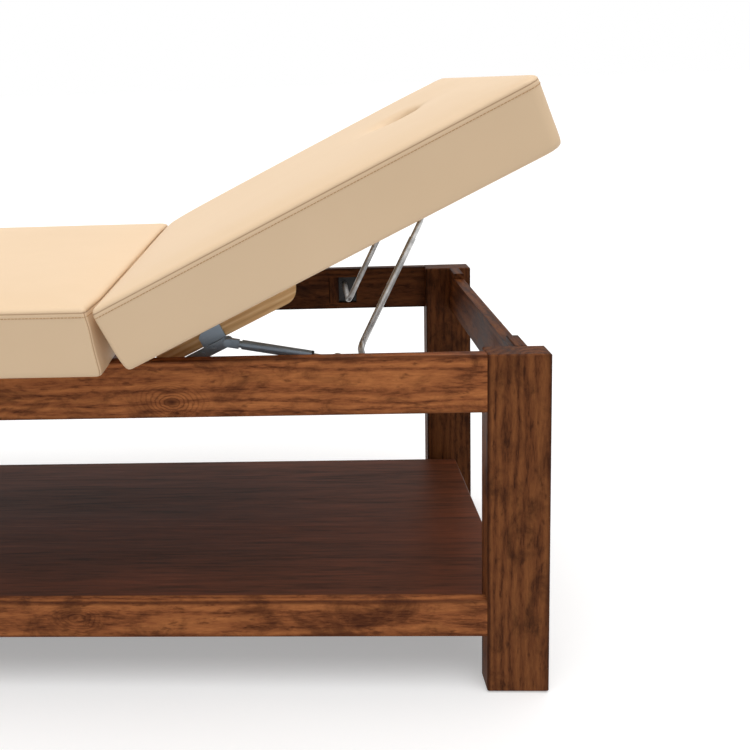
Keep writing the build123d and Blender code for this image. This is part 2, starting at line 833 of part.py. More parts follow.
# Runners under the backrest, whose lower edge follows the crossbar as the backrest comes down
def crossbar_in_back(raised):
    """Centre of the crossbar in the backrest's frame, for a share of the full tilt."""
    back = radians(tilt * raised)
    prop = radians(prop_flat_angle + (prop_angle - prop_flat_angle) * raised)
    along = pivot_x + prop_length * cos(prop) - hinge_x
    above = pivot_height + prop_length * sin(prop) - hinge_z
    return Vector(along * cos(back) + above * sin(back), above * cos(back) - along * sin(back))


def runner_point(raised):
    """The point of the runner's edge that stands square over the crossbar."""
    ahead = crossbar_in_back(raised + path_step) - crossbar_in_back(raised - path_step)
    across = Vector(ahead.Y, -ahead.X).normalized()
    return crossbar_in_back(raised) + across * (rod_radius + runner_gap)


edge_points = [runner_point(share) for share in runner_shares]
for side, sign in leg_sides.items():
    with BuildPart(back_frame) as runner:
        with BuildSketch(side_view(back_frame, sign * runner_distance)):
            with BuildLine():
                Spline(*edge_points)
                tail = edge_points[0] - Vector(runner_tail, 0)
                Polyline(
                    edge_points[0],
                    tail,
                    (tail.X, -hinge_drop),
                    (edge_points[-1].X, -hinge_drop),
                    edge_points[-1],
                )
            make_face()
        extrude(amount=runner_width / 2, both=True)
    save(runner, f"runner_{side}")


# Plate and arm on the front bearer, whose tip carries the strut
with BuildPart(back_frame) as strut_plate:
    plate_bottom = -hinge_drop - arm_tip_depth - arm_height / 2
    plate_top = -hinge_drop - plate_top_depth
    with BuildSketch(side_view(back_frame, plate_face)):
        with BuildLine():
            Polyline(
                (arm_tip_distance - plate_length, plate_bottom),
                (arm_tip_distance - plate_cut, plate_bottom),
                (arm_tip_distance, plate_bottom + plate_cut),
                (arm_tip_distance, plate_top),
                (arm_tip_distance - plate_length + plate_cut, plate_top),
                (arm_tip_distance - plate_length, plate_top - plate_cut),
                close=True,
            )
        make_face()
    extrude(amount=plate_thickness)
    cut_screws(plate_screw_places, small_screw_length)
save(strut_plate, "strut_plate")

with BuildPart(back_frame) as strut_plate_screws:
    add_screws(plate_screw_places, small_screw_length)
save(strut_plate_screws, "strut_plate_screws")

arm_middle = arm_tip_distance - arm_length / 2
arm_front = plate_face - plate_thickness - arm_thickness
with BuildPart(back_frame) as strut_arm:
    with BuildSketch(side_view(back_frame, plate_face - plate_thickness)):
        with Locations((arm_middle, -hinge_drop - arm_tip_depth)):
            SlotCenterToCenter(arm_length, arm_height)
    extrude(amount=arm_thickness)
    with BuildSketch(side_view(back_frame, arm_front)):
        with Locations((arm_middle, -hinge_drop - arm_tip_depth)):
            with GridLocations(arm_rivet_spacing, 0, 2, 1):
                Circle(arm_rivet_radius)
    extrude(amount=rivet_head)
save(strut_arm, "strut_arm")


# Strut: an eye and rod on the bracket's pin, sliding in a tube whose lug meets the arm's tip
tip_x = hinge_x + arm_tip_distance * cos(radians(tilt)) + (hinge_drop + arm_tip_depth) * sin(radians(tilt))
tip_z = hinge_z + arm_tip_distance * sin(radians(tilt)) - (hinge_drop + arm_tip_depth) * cos(radians(tilt))
strut_length = hypot(tip_x - strut_x, tip_z - strut_base_height)
strut_way = Vector(tip_x - strut_x, 0, tip_z - strut_base_height).normalized()
strut_frame = Plane(
    origin=(strut_x, -strut_plane, strut_base_height),
    x_dir=strut_way,
    z_dir=(-strut_way.Z, 0, strut_way.X),
)
tube_end = strut_length - strut_neck
rod_end = tube_end - strut_rod_inset


def along_strut(start):
    """A place on the strut's axis whose z runs along it."""
    return Location((start, 0, 0), (0, 90, 0))


with BuildPart(strut_frame) as strut_rod:
    with Locations(along_strut(strut_pin_radius)):
        Cylinder(
            strut_rod_radius,
            rod_end - strut_pin_radius,
            align=(Align.CENTER, Align.CENTER, Align.MIN),
        )
    with Locations(Location((0, 0, 0), (90, 0, 0))):
        Cylinder(strut_eye_radius, strut_eye_width)
        Cylinder(strut_pin_radius + running_gap, strut_eye_width, mode=Mode.SUBTRACT)
save(strut_rod, "strut_rod")

with BuildPart(strut_frame) as strut_tube:
    with Locations(along_strut(strut_tube_start)):
        Cylinder(
            strut_tube_radius,
            tube_end - strut_tube_start,
            align=(Align.CENTER, Align.CENTER, Align.MIN),
        )
        Cylinder(
            strut_rod_radius + running_gap,
            rod_end + strut_rod_inset / 2 - strut_tube_start,
            align=(Align.CENTER, Align.CENTER, Align.MIN),
            mode=Mode.SUBTRACT,
        )
save(strut_tube, "strut_tube")

with BuildPart(strut_frame) as strut_seal:
    with Locations(along_strut(strut_tube_start - strut_seal_length)):
        Cylinder(strut_tube_radius, strut_seal_length, align=(Align.CENTER, Align.CENTER, Align.MIN))
        Cylinder(
            strut_rod_radius + running_gap,
            strut_seal_length,
            align=(Align.CENTER, Align.CENTER, Align.MIN),
            mode=Mode.SUBTRACT,
        )
save(strut_seal, "strut_seal")

lug_start = tube_end + strut_collar_length
with BuildPart(strut_frame) as strut_lug:
    with Locations(along_strut(tube_end)):
        Cylinder(
            strut_collar_radius,
            strut_collar_length,
            align=(Align.CENTER, Align.CENTER, Align.MIN),
        )
    with Locations(((lug_start + strut_length) / 2, 0, 0)):
        Box(strut_length - lug_start, lug_thickness, lug_width)
    with Locations(Location((strut_length, 0, 0), (90, 0, 0))):
        Cylinder(lug_width / 2, lug_thickness)
        Cylinder(strut_pin_radius + running_gap, lug_thickness, mode=Mode.SUBTRACT)
save(strut_lug, "strut_lug")

with BuildPart(strut_frame) as strut_rivet:
    with Locations(Location((strut_length, 0, 0), (90, 0, 0))):
        Cylinder(strut_pin_radius, lug_thickness)
    with Locations(Location((strut_length, -lug_thickness / 2, 0), (90, 0, 0))):
        Cylinder(rivet_head_radius, rivet_head, align=(Align.CENTER, Align.CENTER, Align.MIN))
save(strut_rivet, "strut_rivet")
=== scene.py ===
"""Looks of a wooden massage table: stained timber, cream upholstery and zinc fittings.

Lengths are metres, in the part's own frame: X runs to the head end, Y from the front side to the rear,
Z up from the floor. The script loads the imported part, gives every node its finish, replaces the two
cushions by upholstered ones, and sets the stage.
"""

import math

import bmesh
import bpy
from mathutils import Matrix, Vector


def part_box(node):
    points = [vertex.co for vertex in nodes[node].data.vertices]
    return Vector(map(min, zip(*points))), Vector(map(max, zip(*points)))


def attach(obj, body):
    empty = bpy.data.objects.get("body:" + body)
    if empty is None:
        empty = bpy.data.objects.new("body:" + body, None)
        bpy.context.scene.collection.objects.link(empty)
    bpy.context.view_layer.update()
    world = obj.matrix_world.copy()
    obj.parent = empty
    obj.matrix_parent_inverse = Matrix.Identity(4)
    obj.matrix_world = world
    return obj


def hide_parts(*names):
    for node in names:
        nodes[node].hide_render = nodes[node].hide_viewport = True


bl_info = {
    "name": "Wooden massage table",
    "version": (1, 0, 0),
    "blender": (4, 5, 0),
    "location": "View3D > Sidebar > Massage table",
    "description": "Dresses a wooden massage table with stained timber, upholstery and zinc fittings",
    "category": "Object",
}

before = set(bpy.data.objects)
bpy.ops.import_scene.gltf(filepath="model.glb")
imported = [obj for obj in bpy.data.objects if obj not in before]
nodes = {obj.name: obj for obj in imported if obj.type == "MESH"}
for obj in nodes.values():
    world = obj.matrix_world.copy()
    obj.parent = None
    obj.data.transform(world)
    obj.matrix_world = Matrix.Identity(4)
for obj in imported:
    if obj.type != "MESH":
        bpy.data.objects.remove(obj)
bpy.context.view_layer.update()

# The backrest's angle at rest, the hinge that it turns on, how far the underside of its cushion lies
# below the hinge, and the height of the frame
TILT = math.radians(26.4)
HINGE = Vector((0.256, 0, 0.6303))
UNDERSIDE_DROP = 0.08
FRAME_TOP = 0.55


# Small helpers


def colour(code):
    """An sRGB hex colour as the linear RGBA that Blender's sockets take."""
    parts = [int(code[i : i + 2], 16) / 255 for i in (1, 3, 5)]
    return tuple(c / 12.92 if c <= 0.04045 else ((c + 0.055) / 1.055) ** 2.4 for c in parts) + (1.0,)


def feed(tree, node, inputs):
    """Feed a node's inputs from sockets, from other nodes' first outputs, or with plain values."""
    for key, value in inputs.items():
        if isinstance(value, bpy.types.Node):
            value = value.outputs[0]
        if isinstance(value, bpy.types.NodeSocket):
            tree.links.new(value, node.inputs[key])
        else:
            node.inputs[key].default_value = value


def add(tree, kind, inputs=None, stops=None, **settings):
    """Add a shader node with its settings, its inputs and a ramp's stops."""
    node = tree.nodes.new("ShaderNode" + kind)
    for key, value in settings.items():
        setattr(node, key, value)
    feed(tree, node, inputs or {})
    if stops:
        elements = node.color_ramp.elements
        elements.remove(elements[1])
        elements[0].position, elements[0].color = stops[0]
        for place, tint in stops[1:]:
            elements.new(place).color = tint
    return node


def new_material(name, **constants):
    """A node material: its tree and its Principled shader, with the shader's own constants set."""
    material = bpy.data.materials.new(name)
    material.use_nodes = True
    tree = material.node_tree
    tree.nodes.clear()
    inputs = {key.replace("_", " "): value for key, value in constants.items()}
    shader = add(tree, "BsdfPrincipled", inputs)
    add(tree, "OutputMaterial", {"Surface": shader.outputs["BSDF"]})
    return material, tree, shader


def deselect():
    """Leave edit mode and select nothing."""
    if bpy.context.object and bpy.context.object.mode != "OBJECT":
        bpy.ops.object.mode_set(mode="OBJECT")
    bpy.ops.object.select_all(action="DESELECT")


def choose(piece):
    """Make a piece the only selected and the active one."""
    deselect()
    piece.select_set(True)
    bpy.context.view_layer.objects.active = piece


def pick(piece, test, mode="VERT"):
    """In edit mode, select only the vertices, edges or faces that pass a test."""
    bpy.ops.mesh.select_mode(type=mode)
    bpy.ops.mesh.select_all(action="DESELECT")
    mesh = bmesh.from_edit_mesh(piece.data)
    for element in {"VERT": mesh.verts, "EDGE": mesh.edges, "FACE": mesh.faces}[mode]:
        if test(element):
            element.select_set(True)
    mesh.select_flush_mode()
    bmesh.update_edit_mesh(piece.data)


def apply_all(piece):
    """Apply a piece's modifiers in order."""
    choose(piece)
    for modifier in list(piece.modifiers):
        bpy.ops.object.modifier_apply(modifier=modifier.name)


def give(piece, material):
    """Make a material the only one of a piece."""
    piece.data.materials.clear()
    piece.data.materials.append(material)


# Sizes and colours that a user would change


class TimberSettings(bpy.types.PropertyGroup):
    dark: bpy.props.FloatVectorProperty(
        name="Dark grain",
        description="Colour of the late wood and the knots under the stain",
        subtype="COLOR",
        size=4,
        default=colour("#3a1c10"),
    )
    middle: bpy.props.FloatVectorProperty(
        name="Stain",
        description="Main colour of the stained timber",
        subtype="COLOR",
        size=4,
        default=colour("#8b5230"),
    )
    light: bpy.props.FloatVectorProperty(
        name="Light grain",
        description="Colour of the early wood under the stain",
        subtype="COLOR",
        size=4,
        default=colour("#ab6b3e"),
    )
    ring_pitch: bpy.props.FloatProperty(
        name="Ring spacing",
        description="Distance between growth rings",
        default=0.011,
        unit="LENGTH",
    )


class UpholsterySettings(bpy.types.PropertyGroup):
    cover: bpy.props.FloatVectorProperty(
        name="Cover",
        description="Colour of the vinyl",
        subtype="COLOR",
        size=4,
        default=colour("#e6c9a6"),
    )
    stitch_pitch: bpy.props.FloatProperty(
        name="Stitch length",
        description="Distance from stitch to stitch",
        default=0.0052,
        unit="LENGTH",
    )
    swell: bpy.props.FloatProperty(
        name="Swell",
        description="Furthest that the cover rises when the foam fills it",
        default=0.007,
        unit="LENGTH",
    )


class StageSettings(bpy.types.PropertyGroup):
    key_power: bpy.props.FloatProperty(
        name="Overhead light",
        description="Strength of the large soft light above",
        default=2.74,
    )
    fill: bpy.props.FloatProperty(
        name="Room light",
        description="Strength of the even light from all round",
        default=0.3,
    )


# Materials

# Furthest that a board's grain wavers to each side
WAVER = 0.03


def timber(node, grain, stain_and_shade_tone, knots, seed):
    """A board of pine with a walnut stain under satin lacquer.

    Growth rings about 11 mm apart run round a pith outside the board, so faces show long flames and
    ends show arcs. Fibres under 3 mm wide and streaks up to 17 mm wide run along it. The real fibres
    are finer, and are drawn as coarse as they need to be to show. The stain took unevenly: it is
    blotched over 50 to 70 mm, and darker in knots, flecks, eased edges and end grain.
    """
    settings = bpy.context.scene.timber
    material, tree, shader = new_material(
        "walnut_stained_pine_with_painted_light_" + node, IOR=1.5, Specular_IOR_Level=0.05
    )
    low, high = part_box(node)
    centre, half = (low + high) / 2, (high - low) / 2
    axis = "XYZ".index(grain)
    across = [i for i in range(3) if i != axis]
    thin, wide = sorted(across, key=lambda i: half[i])

    place = add(tree, "TexCoord").outputs["Object"]
    local = add(tree, "VectorMath", {0: place, 1: centre}, operation="SUBTRACT")
    # Grain coordinates are drawn out along the board, start elsewhere on each board, and waver a little
    stretch = Vector((1, 1, 1))
    stretch[axis] = 0.14
    start = Vector((seed * 1.7, seed * 2.3 + 0.4, seed * 0.9))
    drawn = add(tree, "Mapping", {0: local, "Location": start, "Scale": stretch})
    wander = add(tree, "TexNoise", {"Vector": drawn, "Scale": 9.0, "Detail": 2.0}).outputs["Color"]
    wander = add(
        tree, "VectorMath", {0: wander, 1: (2 * WAVER,) * 3, 2: (-WAVER,) * 3}, operation="MULTIPLY_ADD"
    )
    # The pith lies 10 to 50 mm behind the board's face, and elsewhere for each
    pith = Vector()
    pith[wide] = half[wide] * 0.5 * math.cos(seed * 5)
    pith[thin] = -(half[thin] + 0.03 + 0.02 * math.sin(seed * 7))
    rings_at = add(tree, "Mapping", {0: local, "Location": -pith, "Scale": stretch})
    rings_at = add(tree, "VectorMath", {0: rings_at, 1: wander}, operation="ADD")
    rings = add(
        tree,
        "TexWave",
        {
            "Vector": rings_at,
            # At scale 1 the node draws a ring every 2 pi / 20 units
            "Scale": 2 * math.pi / (20 * settings.ring_pitch),
            "Distortion": 3.5,
            "Detail": 3.0,
            "Detail Scale": 2.0,
        },
        wave_type="RINGS",
        rings_direction=grain,
    ).outputs["Fac"]
    fibres = add(
        tree, "TexNoise", {"Vector": drawn, "Scale": 380.0, "Detail": 6.0, "Roughness": 0.65}
    )
    streaks = add(
        tree,
        "TexNoise",
        {"Vector": drawn, "Scale": 60.0, "Detail": 6.0, "Roughness": 0.66, "Distortion": 0.9},
    )
    # Blotches are only a little longer than wide
    plump = stretch * 0.3 + Vector((0.6, 0.6, 0.6))
    blotches_at = add(tree, "Mapping", {0: local, "Location": start * 2, "Scale": plump})
    blotches = add(
        tree,
        "TexNoise",
        {"Vector": blotches_at, "Scale": 22.0, "Detail": 6.0, "Roughness": 0.66, "Distortion": 0.5},
    )
    # The figure is nearly a fifth rings, a third streaks and half fibres
    figure = add(tree, "CombineXYZ", {0: rings, 1: streaks, 2: fibres})
    figure = add(
        tree, "VectorMath", {0: figure, 1: (0.18, 0.3, 0.52)}, operation="DOT_PRODUCT"
    ).outputs["Value"]
    tint = add(
        tree,
        "ValToRGB",
        {0: figure},
        [(0.28, settings.dark), (0.46, settings.middle), (0.68, settings.light)],
    )

    # Uneven stain: broad dark blotches, and small dark flecks along the grain
    dark = settings.dark
    slim = stretch * 0.5 + Vector((0.15, 0.15, 0.15))
    flecks_at = add(tree, "Mapping", {0: local, "Location": start * 3, "Scale": slim})
    flecks = add(
        tree, "TexNoise", {"Vector": flecks_at, "Scale": 150.0, "Detail": 3.0, "Roughness": 0.6}
    )
    for source, begin, full, most in ((blotches, 0.44, 0.7, 0.72), (flecks, 0.56, 0.72, 0.6)):
        depth = add(
            tree,
            "MapRange",
            {"Value": source, "From Min": begin, "From Max": full, "To Max": most},
            interpolation_type="SMOOTHSTEP",
        )
        tint = add(tree, "Mix", {0: depth, 6: tint, 7: dark}, data_type="RGBA").outputs[2]

    # Stain pools along the eased edges, unevenly, and soaks into end grain
    sides = add(tree, "VectorMath", {0: local}, operation="ABSOLUTE")
    to_edge = add(tree, "VectorMath", {0: half, 1: sides}, operation="SUBTRACT")
    to_edge = add(tree, "SeparateXYZ", {0: to_edge})
    edge = add(
        tree, "Math", {0: to_edge.outputs[thin], 1: to_edge.outputs[wide]}, operation="MAXIMUM"
    )
    edge = add(tree, "Math", {0: streaks, 1: -0.006, 2: edge}, operation="MULTIPLY_ADD")
    rim = add(
        tree,
        "MapRange",
        {"Value": edge, "From Min": -0.0035, "From Max": 0.004, "To Min": 0.7, "To Max": 0.0},
        interpolation_type="SMOOTHSTEP",
    )
    normal = add(tree, "SeparateXYZ", {0: add(tree, "TexCoord").outputs["Normal"]})
    ends = add(tree, "Math", {0: normal.outputs[axis]}, operation="ABSOLUTE")
    ends = add(tree, "MapRange", {"Value": ends, "From Min": 0.8, "From Max": 0.95, "To Max": 0.25})
    for depth in (rim, ends):
        tint = add(tree, "Mix", {0: depth, 6: tint, 7: dark}, data_type="RGBA").outputs[2]

    # A knot, twice as long as wide: a dark heart, and dark rings a tenth of its width apart round it
    for knot, size in knots:
        shape = Vector((size * 0.5,) * 3)
        shape[axis] = size
        away = add(tree, "VectorMath", {0: place, 1: knot}, operation="SUBTRACT")
        away = add(tree, "VectorMath", {0: away, 1: wander}, operation="ADD")
        away = add(tree, "VectorMath", {0: away, 1: shape}, operation="DIVIDE")
        distance = add(tree, "VectorMath", {0: away}, operation="LENGTH").outputs["Value"]
        wave = add(tree, "Math", {0: distance, 1: 30.0}, operation="MULTIPLY")
        wave = add(tree, "Math", {0: blotches, 1: 22.0, 2: wave}, operation="MULTIPLY_ADD")
        wave = add(tree, "Math", {0: wave}, operation="SINE")
        fade = add(
            tree,
            "MapRange",
            {"Value": distance, "From Min": 0.6, "From Max": 2.0, "To Min": 0.55, "To Max": 0.0},
        )
        ring = add(tree, "Math", {0: wave, 1: fade}, operation="MULTIPLY", use_clamp=True)
        heart = add(
            tree,
            "MapRange",
            {"Value": distance, "From Min": 0.16, "From Max": 0.46, "To Min": 0.95, "To Max": 0.0},
        )
        for depth in (ring, heart):
            tint = add(tree, "Mix", {0: depth, 6: tint, 7: dark}, data_type="RGBA").outputs[2]

    # The tone scales the board's brightness: a little of its own stain, mostly painted light and shade,
    # lighter on lit front boards and darker on shaded rear and inner ones
    tint = add(tree, "HueSaturation", {"Color": tint, "Value": stain_and_shade_tone})
    gloss = add(
        tree,
        "MapRange",
        {"Value": blotches, "From Min": 0.3, "From Max": 0.7, "To Min": 0.56, "To Max": 0.42},
    )
    bump = add(tree, "Bump", {"Height": figure, "Strength": 0.5, "Distance": 0.0008})
    feed(tree, shader, {"Base Color": tint, "Roughness": gloss, "Normal": bump})
    return material


def shelf_panel():
    """Veneered panel with a dark walnut stain under satin lacquer: long reddish streaks up to 30 mm
    wide and fibres up to 5 mm wide in near black brown, a slight sheen, and a few pale scuffs, 20 mm
    long and a millimetre wide."""
    material, tree, shader = new_material("walnut_stained_panel", IOR=1.5, Specular_IOR_Level=0.08)
    place = add(tree, "TexCoord").outputs["Object"]
    drawn = add(tree, "Mapping", {0: place, "Location": (0.3, 0.1, 0), "Scale": (0.06, 1, 1)})
    fibres = add(
        tree, "TexNoise", {"Vector": drawn, "Scale": 210.0, "Detail": 6.0, "Roughness": 0.65}
    )
    streaks = add(
        tree,
        "TexNoise",
        {"Vector": drawn, "Scale": 32.0, "Detail": 6.0, "Roughness": 0.66, "Distortion": 1.2},
    )
    broad = add(tree, "TexNoise", {"Vector": drawn, "Scale": 7.0, "Detail": 2.0})
    figure = add(tree, "CombineXYZ", {0: fibres, 1: streaks, 2: broad})
    figure = add(
        tree, "VectorMath", {0: figure, 1: (0.38, 0.42, 0.2)}, operation="DOT_PRODUCT"
    ).outputs["Value"]
    tint = add(
        tree,
        "ValToRGB",
        {0: figure},
        [
            (0.35, colour("#2e180f")),
            (0.47, colour("#543020")),
            (0.58, colour("#6b3a26")),
            (0.7, colour("#8a4e33")),
        ],
    )
    # Scuffs where baskets were pushed in: long thin cells, thinned out by a broad noise
    scuffs_at = add(tree, "Mapping", {0: place, "Scale": (9, 150, 1), "Rotation": (0, 0, 0.35)})
    scuffs = add(tree, "TexVoronoi", {"Vector": scuffs_at, "Scale": 1.0}).outputs["Distance"]
    scuffs = add(
        tree,
        "MapRange",
        {"Value": scuffs, "From Min": 0.1, "From Max": 0.02},
        interpolation_type="SMOOTHSTEP",
    )
    some = add(tree, "TexNoise", {"Vector": place, "Scale": 7.0, "Detail": 1.0})
    some = add(tree, "MapRange", {"Value": some, "From Min": 0.58, "From Max": 0.68, "To Max": 0.8})
    scuffs = add(tree, "Math", {0: scuffs, 1: some}, operation="MULTIPLY")
    tint = add(tree, "Mix", {0: scuffs, 6: tint, 7: colour("#8a5a4a")}, data_type="RGBA").outputs[2]
    gloss = add(
        tree,
        "MapRange",
        {"Value": streaks, "From Min": 0.3, "From Max": 0.7, "To Min": 0.5, "To Max": 0.38},
    )
    bump = add(tree, "Bump", {"Height": fibres, "Strength": 0.2, "Distance": 0.0004})
    feed(tree, shader, {"Base Color": tint, "Roughness": gloss, "Normal": bump})
    return material


def planed_pine(name, turn=0.0):
    """Planed pine, unfinished: a plain pale tan, with late wood lines about 8 mm apart that hardly
    show and fibres up to 4 mm wide. It is dry, so it has almost no gloss."""
    material, tree, shader = new_material(name, Roughness=0.7, Specular_IOR_Level=0.2)
    place = add(tree, "TexCoord").outputs["Object"]
    level = add(tree, "Mapping", {0: place, "Rotation": (0, turn, 0)})
    drawn = add(tree, "Mapping", {0: level, "Scale": (0.06, 1, 1)})
    rings = add(
        tree,
        "TexWave",
        {"Vector": drawn, "Scale": 38.0, "Distortion": 3.0, "Detail": 3.0, "Detail Scale": 1.5},
        wave_type="RINGS",
        rings_direction="X",
    ).outputs["Fac"]
    fibres = add(
        tree, "TexNoise", {"Vector": drawn, "Scale": 240.0, "Detail": 5.0, "Roughness": 0.6}
    )
    figure = add(tree, "Math", {0: rings, 1: 0.25, 2: fibres}, operation="MULTIPLY_ADD")
    tint = add(
        tree,
        "ValToRGB",
        {0: figure},
        [(0.4, colour("#c69a68")), (0.62, colour("#dbb07c")), (0.85, colour("#e8c594"))],
    )
    bump = add(tree, "Bump", {"Height": fibres, "Strength": 0.25, "Distance": 0.0004})
    feed(tree, shader, {"Base Color": tint, "Normal": bump})
    return material


def birch_plywood(name, drop, turn=0.0):
    """Birch plywood, sanded: a calm pale face, and on its edges a brown glue line every 6 mm."""
    material, tree, shader = new_material(name, Roughness=0.62, Specular_IOR_Level=0.25)
    place = add(tree, "TexCoord").outputs["Object"]
    level = add(tree, "Mapping", {0: place, "Rotation": (0, turn, 0), "Location": (0, 0, -drop)})
    drawn = add(tree, "Mapping", {0: level, "Scale": (0.12, 1, 1)})
    figure = add(
        tree,
        "TexNoise",
        {"Vector": drawn, "Scale": 32.0, "Detail": 6.0, "Roughness": 0.6, "Distortion": 0.5},
    )
    tint = add(
        tree,
        "ValToRGB",
        {0: figure},
        [(0.25, colour("#a98457")), (0.5, colour("#bf9d70")), (0.75, colour("#cfb389"))],
    )
    height = add(tree, "SeparateXYZ", {0: level}).outputs[2]
    # Height above or below the nearest line
    plies = add(tree, "Math", {0: height, 1: 0.003}, operation="PINGPONG")
    lines = add(
        tree,
        "MapRange",
        {"Value": plies, "From Min": 0.0002, "From Max": 0.0008, "To Min": 0.6, "To Max": 0.0},
    )
    tint = add(tree, "Mix", {0: lines, 6: tint, 7: colour("#6f4a2a")}, data_type="RGBA").outputs[2]
    bump = add(tree, "Bump", {"Height": figure, "Strength": 0.15, "Distance": 0.0004})
    feed(tree, shader, {"Base Color": tint, "Normal": bump})
    return material


def zinc_plate(name, bright, dull, roughness):
    """Zinc plated steel: a cool grey metal, cloudy over a centimetre or two, with fine marks of the
    drawing or stamping, so it reflects softly."""
    material, tree, shader = new_material(name, Metallic=1.0)
    place = add(tree, "TexCoord").outputs["Object"]
    clouds = add(tree, "TexNoise", {"Vector": place, "Scale": 60.0, "Detail": 4.0})
    marks = add(tree, "TexNoise", {"Vector": place, "Scale": 500.0, "Detail": 3.0})
    tint = add(tree, "ValToRGB", {0: clouds}, [(0.35, colour(dull)), (0.65, colour(bright))])
    gloss = add(
        tree,
        "MapRange",
        {
            "Value": clouds,
            "From Min": 0.3,
            "From Max": 0.7,
            "To Min": roughness + 0.1,
            "To Max": roughness,
        },
    )
    bump = add(tree, "Bump", {"Height": marks, "Strength": 0.12, "Distance": 0.0002})
    feed(tree, shader, {"Base Color": tint, "Roughness": gloss, "Normal": bump})
    return material


def stoved_paint(name, paint, rubbed):
    """Stove enamel on pressed steel: satin, with an orange peel of 1.5 mm, and rubbed brighter in
    patches of about a centimetre."""
    material, tree, shader = new_material(name, Metallic=0.3)
    place = add(tree, "TexCoord").outputs["Object"]
    wear = add(tree, "TexNoise", {"Vector": place, "Scale": 90.0, "Detail": 5.0, "Roughness": 0.65})
    peel = add(tree, "TexNoise", {"Vector": place, "Scale": 650.0, "Detail": 2.0})
    tint = add(tree, "ValToRGB", {0: wear}, [(0.6, colour(paint)), (0.75, colour(rubbed))])
    gloss = add(
        tree,
        "MapRange",
        {"Value": wear, "From Min": 0.3, "From Max": 0.8, "To Min": 0.45, "To Max": 0.34},
    )
    bump = add(tree, "Bump", {"Height": peel, "Strength": 0.1, "Distance": 0.0002})
    feed(tree, shader, {"Base Color": tint, "Roughness": gloss, "Normal": bump})
    return material


def moulded_rubber():
    """Moulded black rubber: matt, with a faint dusty bloom of a few millimetres."""
    material, tree, shader = new_material("moulded_rubber", Roughness=0.75)
    place = add(tree, "TexCoord").outputs["Object"]
    bloom = add(tree, "TexNoise", {"Vector": place, "Scale": 300.0, "Detail": 3.0})
    tint = add(tree, "ValToRGB", {0: bloom}, [(0.4, colour("#141414")), (0.8, colour("#2a2a2a"))])
    feed(tree, shader, {"Base Color": tint})
    return material


def cream_vinyl():
    """Embossed upholstery vinyl over foam: cream, with a pebbled grain of about 1 mm, slow waves of a
    hand's width where the foam pushes, a soft broad gloss, and painted shade in the lines where the
    seams sink in."""
    cover = bpy.context.scene.upholstery.cover
    material, tree, shader = new_material(
        "cream_vinyl", IOR=1.5, Specular_IOR_Level=0.35, Roughness=0.52
    )
    place = add(tree, "TexCoord").outputs["Object"]
    waves = add(tree, "TexNoise", {"Vector": place, "Scale": 8.0, "Detail": 3.0})
    pebbles = add(tree, "TexVoronoi", {"Vector": place, "Scale": 850.0}).outputs["Distance"]
    handled = add(
        tree, "TexNoise", {"Vector": place, "Scale": 3.0, "Detail": 4.0, "Roughness": 0.6}
    )
    worn = (cover[0] * 0.96, cover[1] * 0.95, cover[2] * 0.93, 1)
    tint = add(tree, "ValToRGB", {0: handled}, [(0.3, worn), (0.7, cover)])
    # Painted shade in the seams: a point attribute, 1 in the grooves, darkens the cover toward dark
    # brown
    seam_shade = add(tree, "Attribute", attribute_name="seam_shade").outputs["Fac"]
    seam_shade = add(
        tree,
        "MapRange",
        {"Value": seam_shade, "From Min": 0.15, "From Max": 1.0, "To Max": 0.6},
        interpolation_type="SMOOTHSTEP",
    )
    tint = add(tree, "Mix", {0: seam_shade, 6: tint, 7: colour("#84512c")}, data_type="RGBA").outputs[2]
    grain = add(tree, "Bump", {"Height": pebbles, "Strength": 0.12, "Distance": 0.0002})
    soft = add(
        tree, "Bump", {"Height": waves, "Normal": grain, "Strength": 0.25, "Distance": 0.006}
    )
    feed(tree, shader, {"Base Color": tint, "Normal": soft})
    return material


def sewing_thread():
    """Bonded polyester thread: a touch darker than the cover, dry, its twist a fine light and dark."""
    material, tree, shader = new_material("sewing_thread", Roughness=0.7)
    place = add(tree, "TexCoord").outputs["Object"]
    twist = add(tree, "TexNoise", {"Vector": place, "Scale": 900.0, "Detail": 2.0})
    tint = add(tree, "ValToRGB", {0: twist}, [(0.3, colour("#a0764c")), (0.7, colour("#cda67c"))])
    feed(tree, shader, {"Base Color": tint})
    return material


# Cushions


def cover_block(name, rings, hinge_corner, far_corner):
    """A closed block: an outline with rounded corners, drawn up through the rings of a cushion."""
    deselect()
    height, half, near, far = rings[0]
    bpy.ops.mesh.primitive_plane_add(size=1, location=((near + far) / 2, 0, height))
    piece = bpy.context.object
    piece.name = piece.data.name = name
    piece.scale = (abs(far - near), 2 * half, 1)
    bpy.ops.object.transform_apply(location=True, rotation=True, scale=True)
    bpy.ops.object.mode_set(mode="EDIT")
    for end_x, radius in ((near, hinge_corner), (far, far_corner)):
        pick(piece, lambda v: abs(v.co.x - end_x) < 1e-5)
        bpy.ops.mesh.bevel(offset=radius, offset_type="OFFSET", segments=6, affect="VERTICES")
    bpy.ops.mesh.select_mode(type="FACE")
    bpy.ops.mesh.select_all(action="SELECT")
    for before, after in zip(rings, rings[1:]):
        height, half, near, far = after
        centre = (near + far) / 2
        step = (centre - (before[2] + before[3]) / 2, 0, height - before[0])
        bpy.ops.mesh.extrude_region_move(TRANSFORM_OT_translate={"value": step})
        bpy.ops.transform.resize(
            value=(abs(far - near) / abs(before[3] - before[2]), half / before[1], 1),
            center_override=(centre, 0, height),
        )
    return piece


def cut_grid(xs, ys):
    """Cut the block that is being edited by planes across and along, so that it can bend like cloth."""
    bpy.ops.mesh.select_mode(type="VERT")
    for normal, places in (((1, 0, 0), xs), ((0, 1, 0), ys)):
        for place in places:
            bpy.ops.mesh.select_all(action="SELECT")
            bpy.ops.mesh.bisect(plane_co=[place * n for n in normal], plane_no=normal)


def steps(low, high, pitch):
    """Evenly spaced places strictly between two ends."""
    count = max(2, round(abs(high - low) / pitch))
    return [low + (high - low) * i / count for i in range(1, count)]


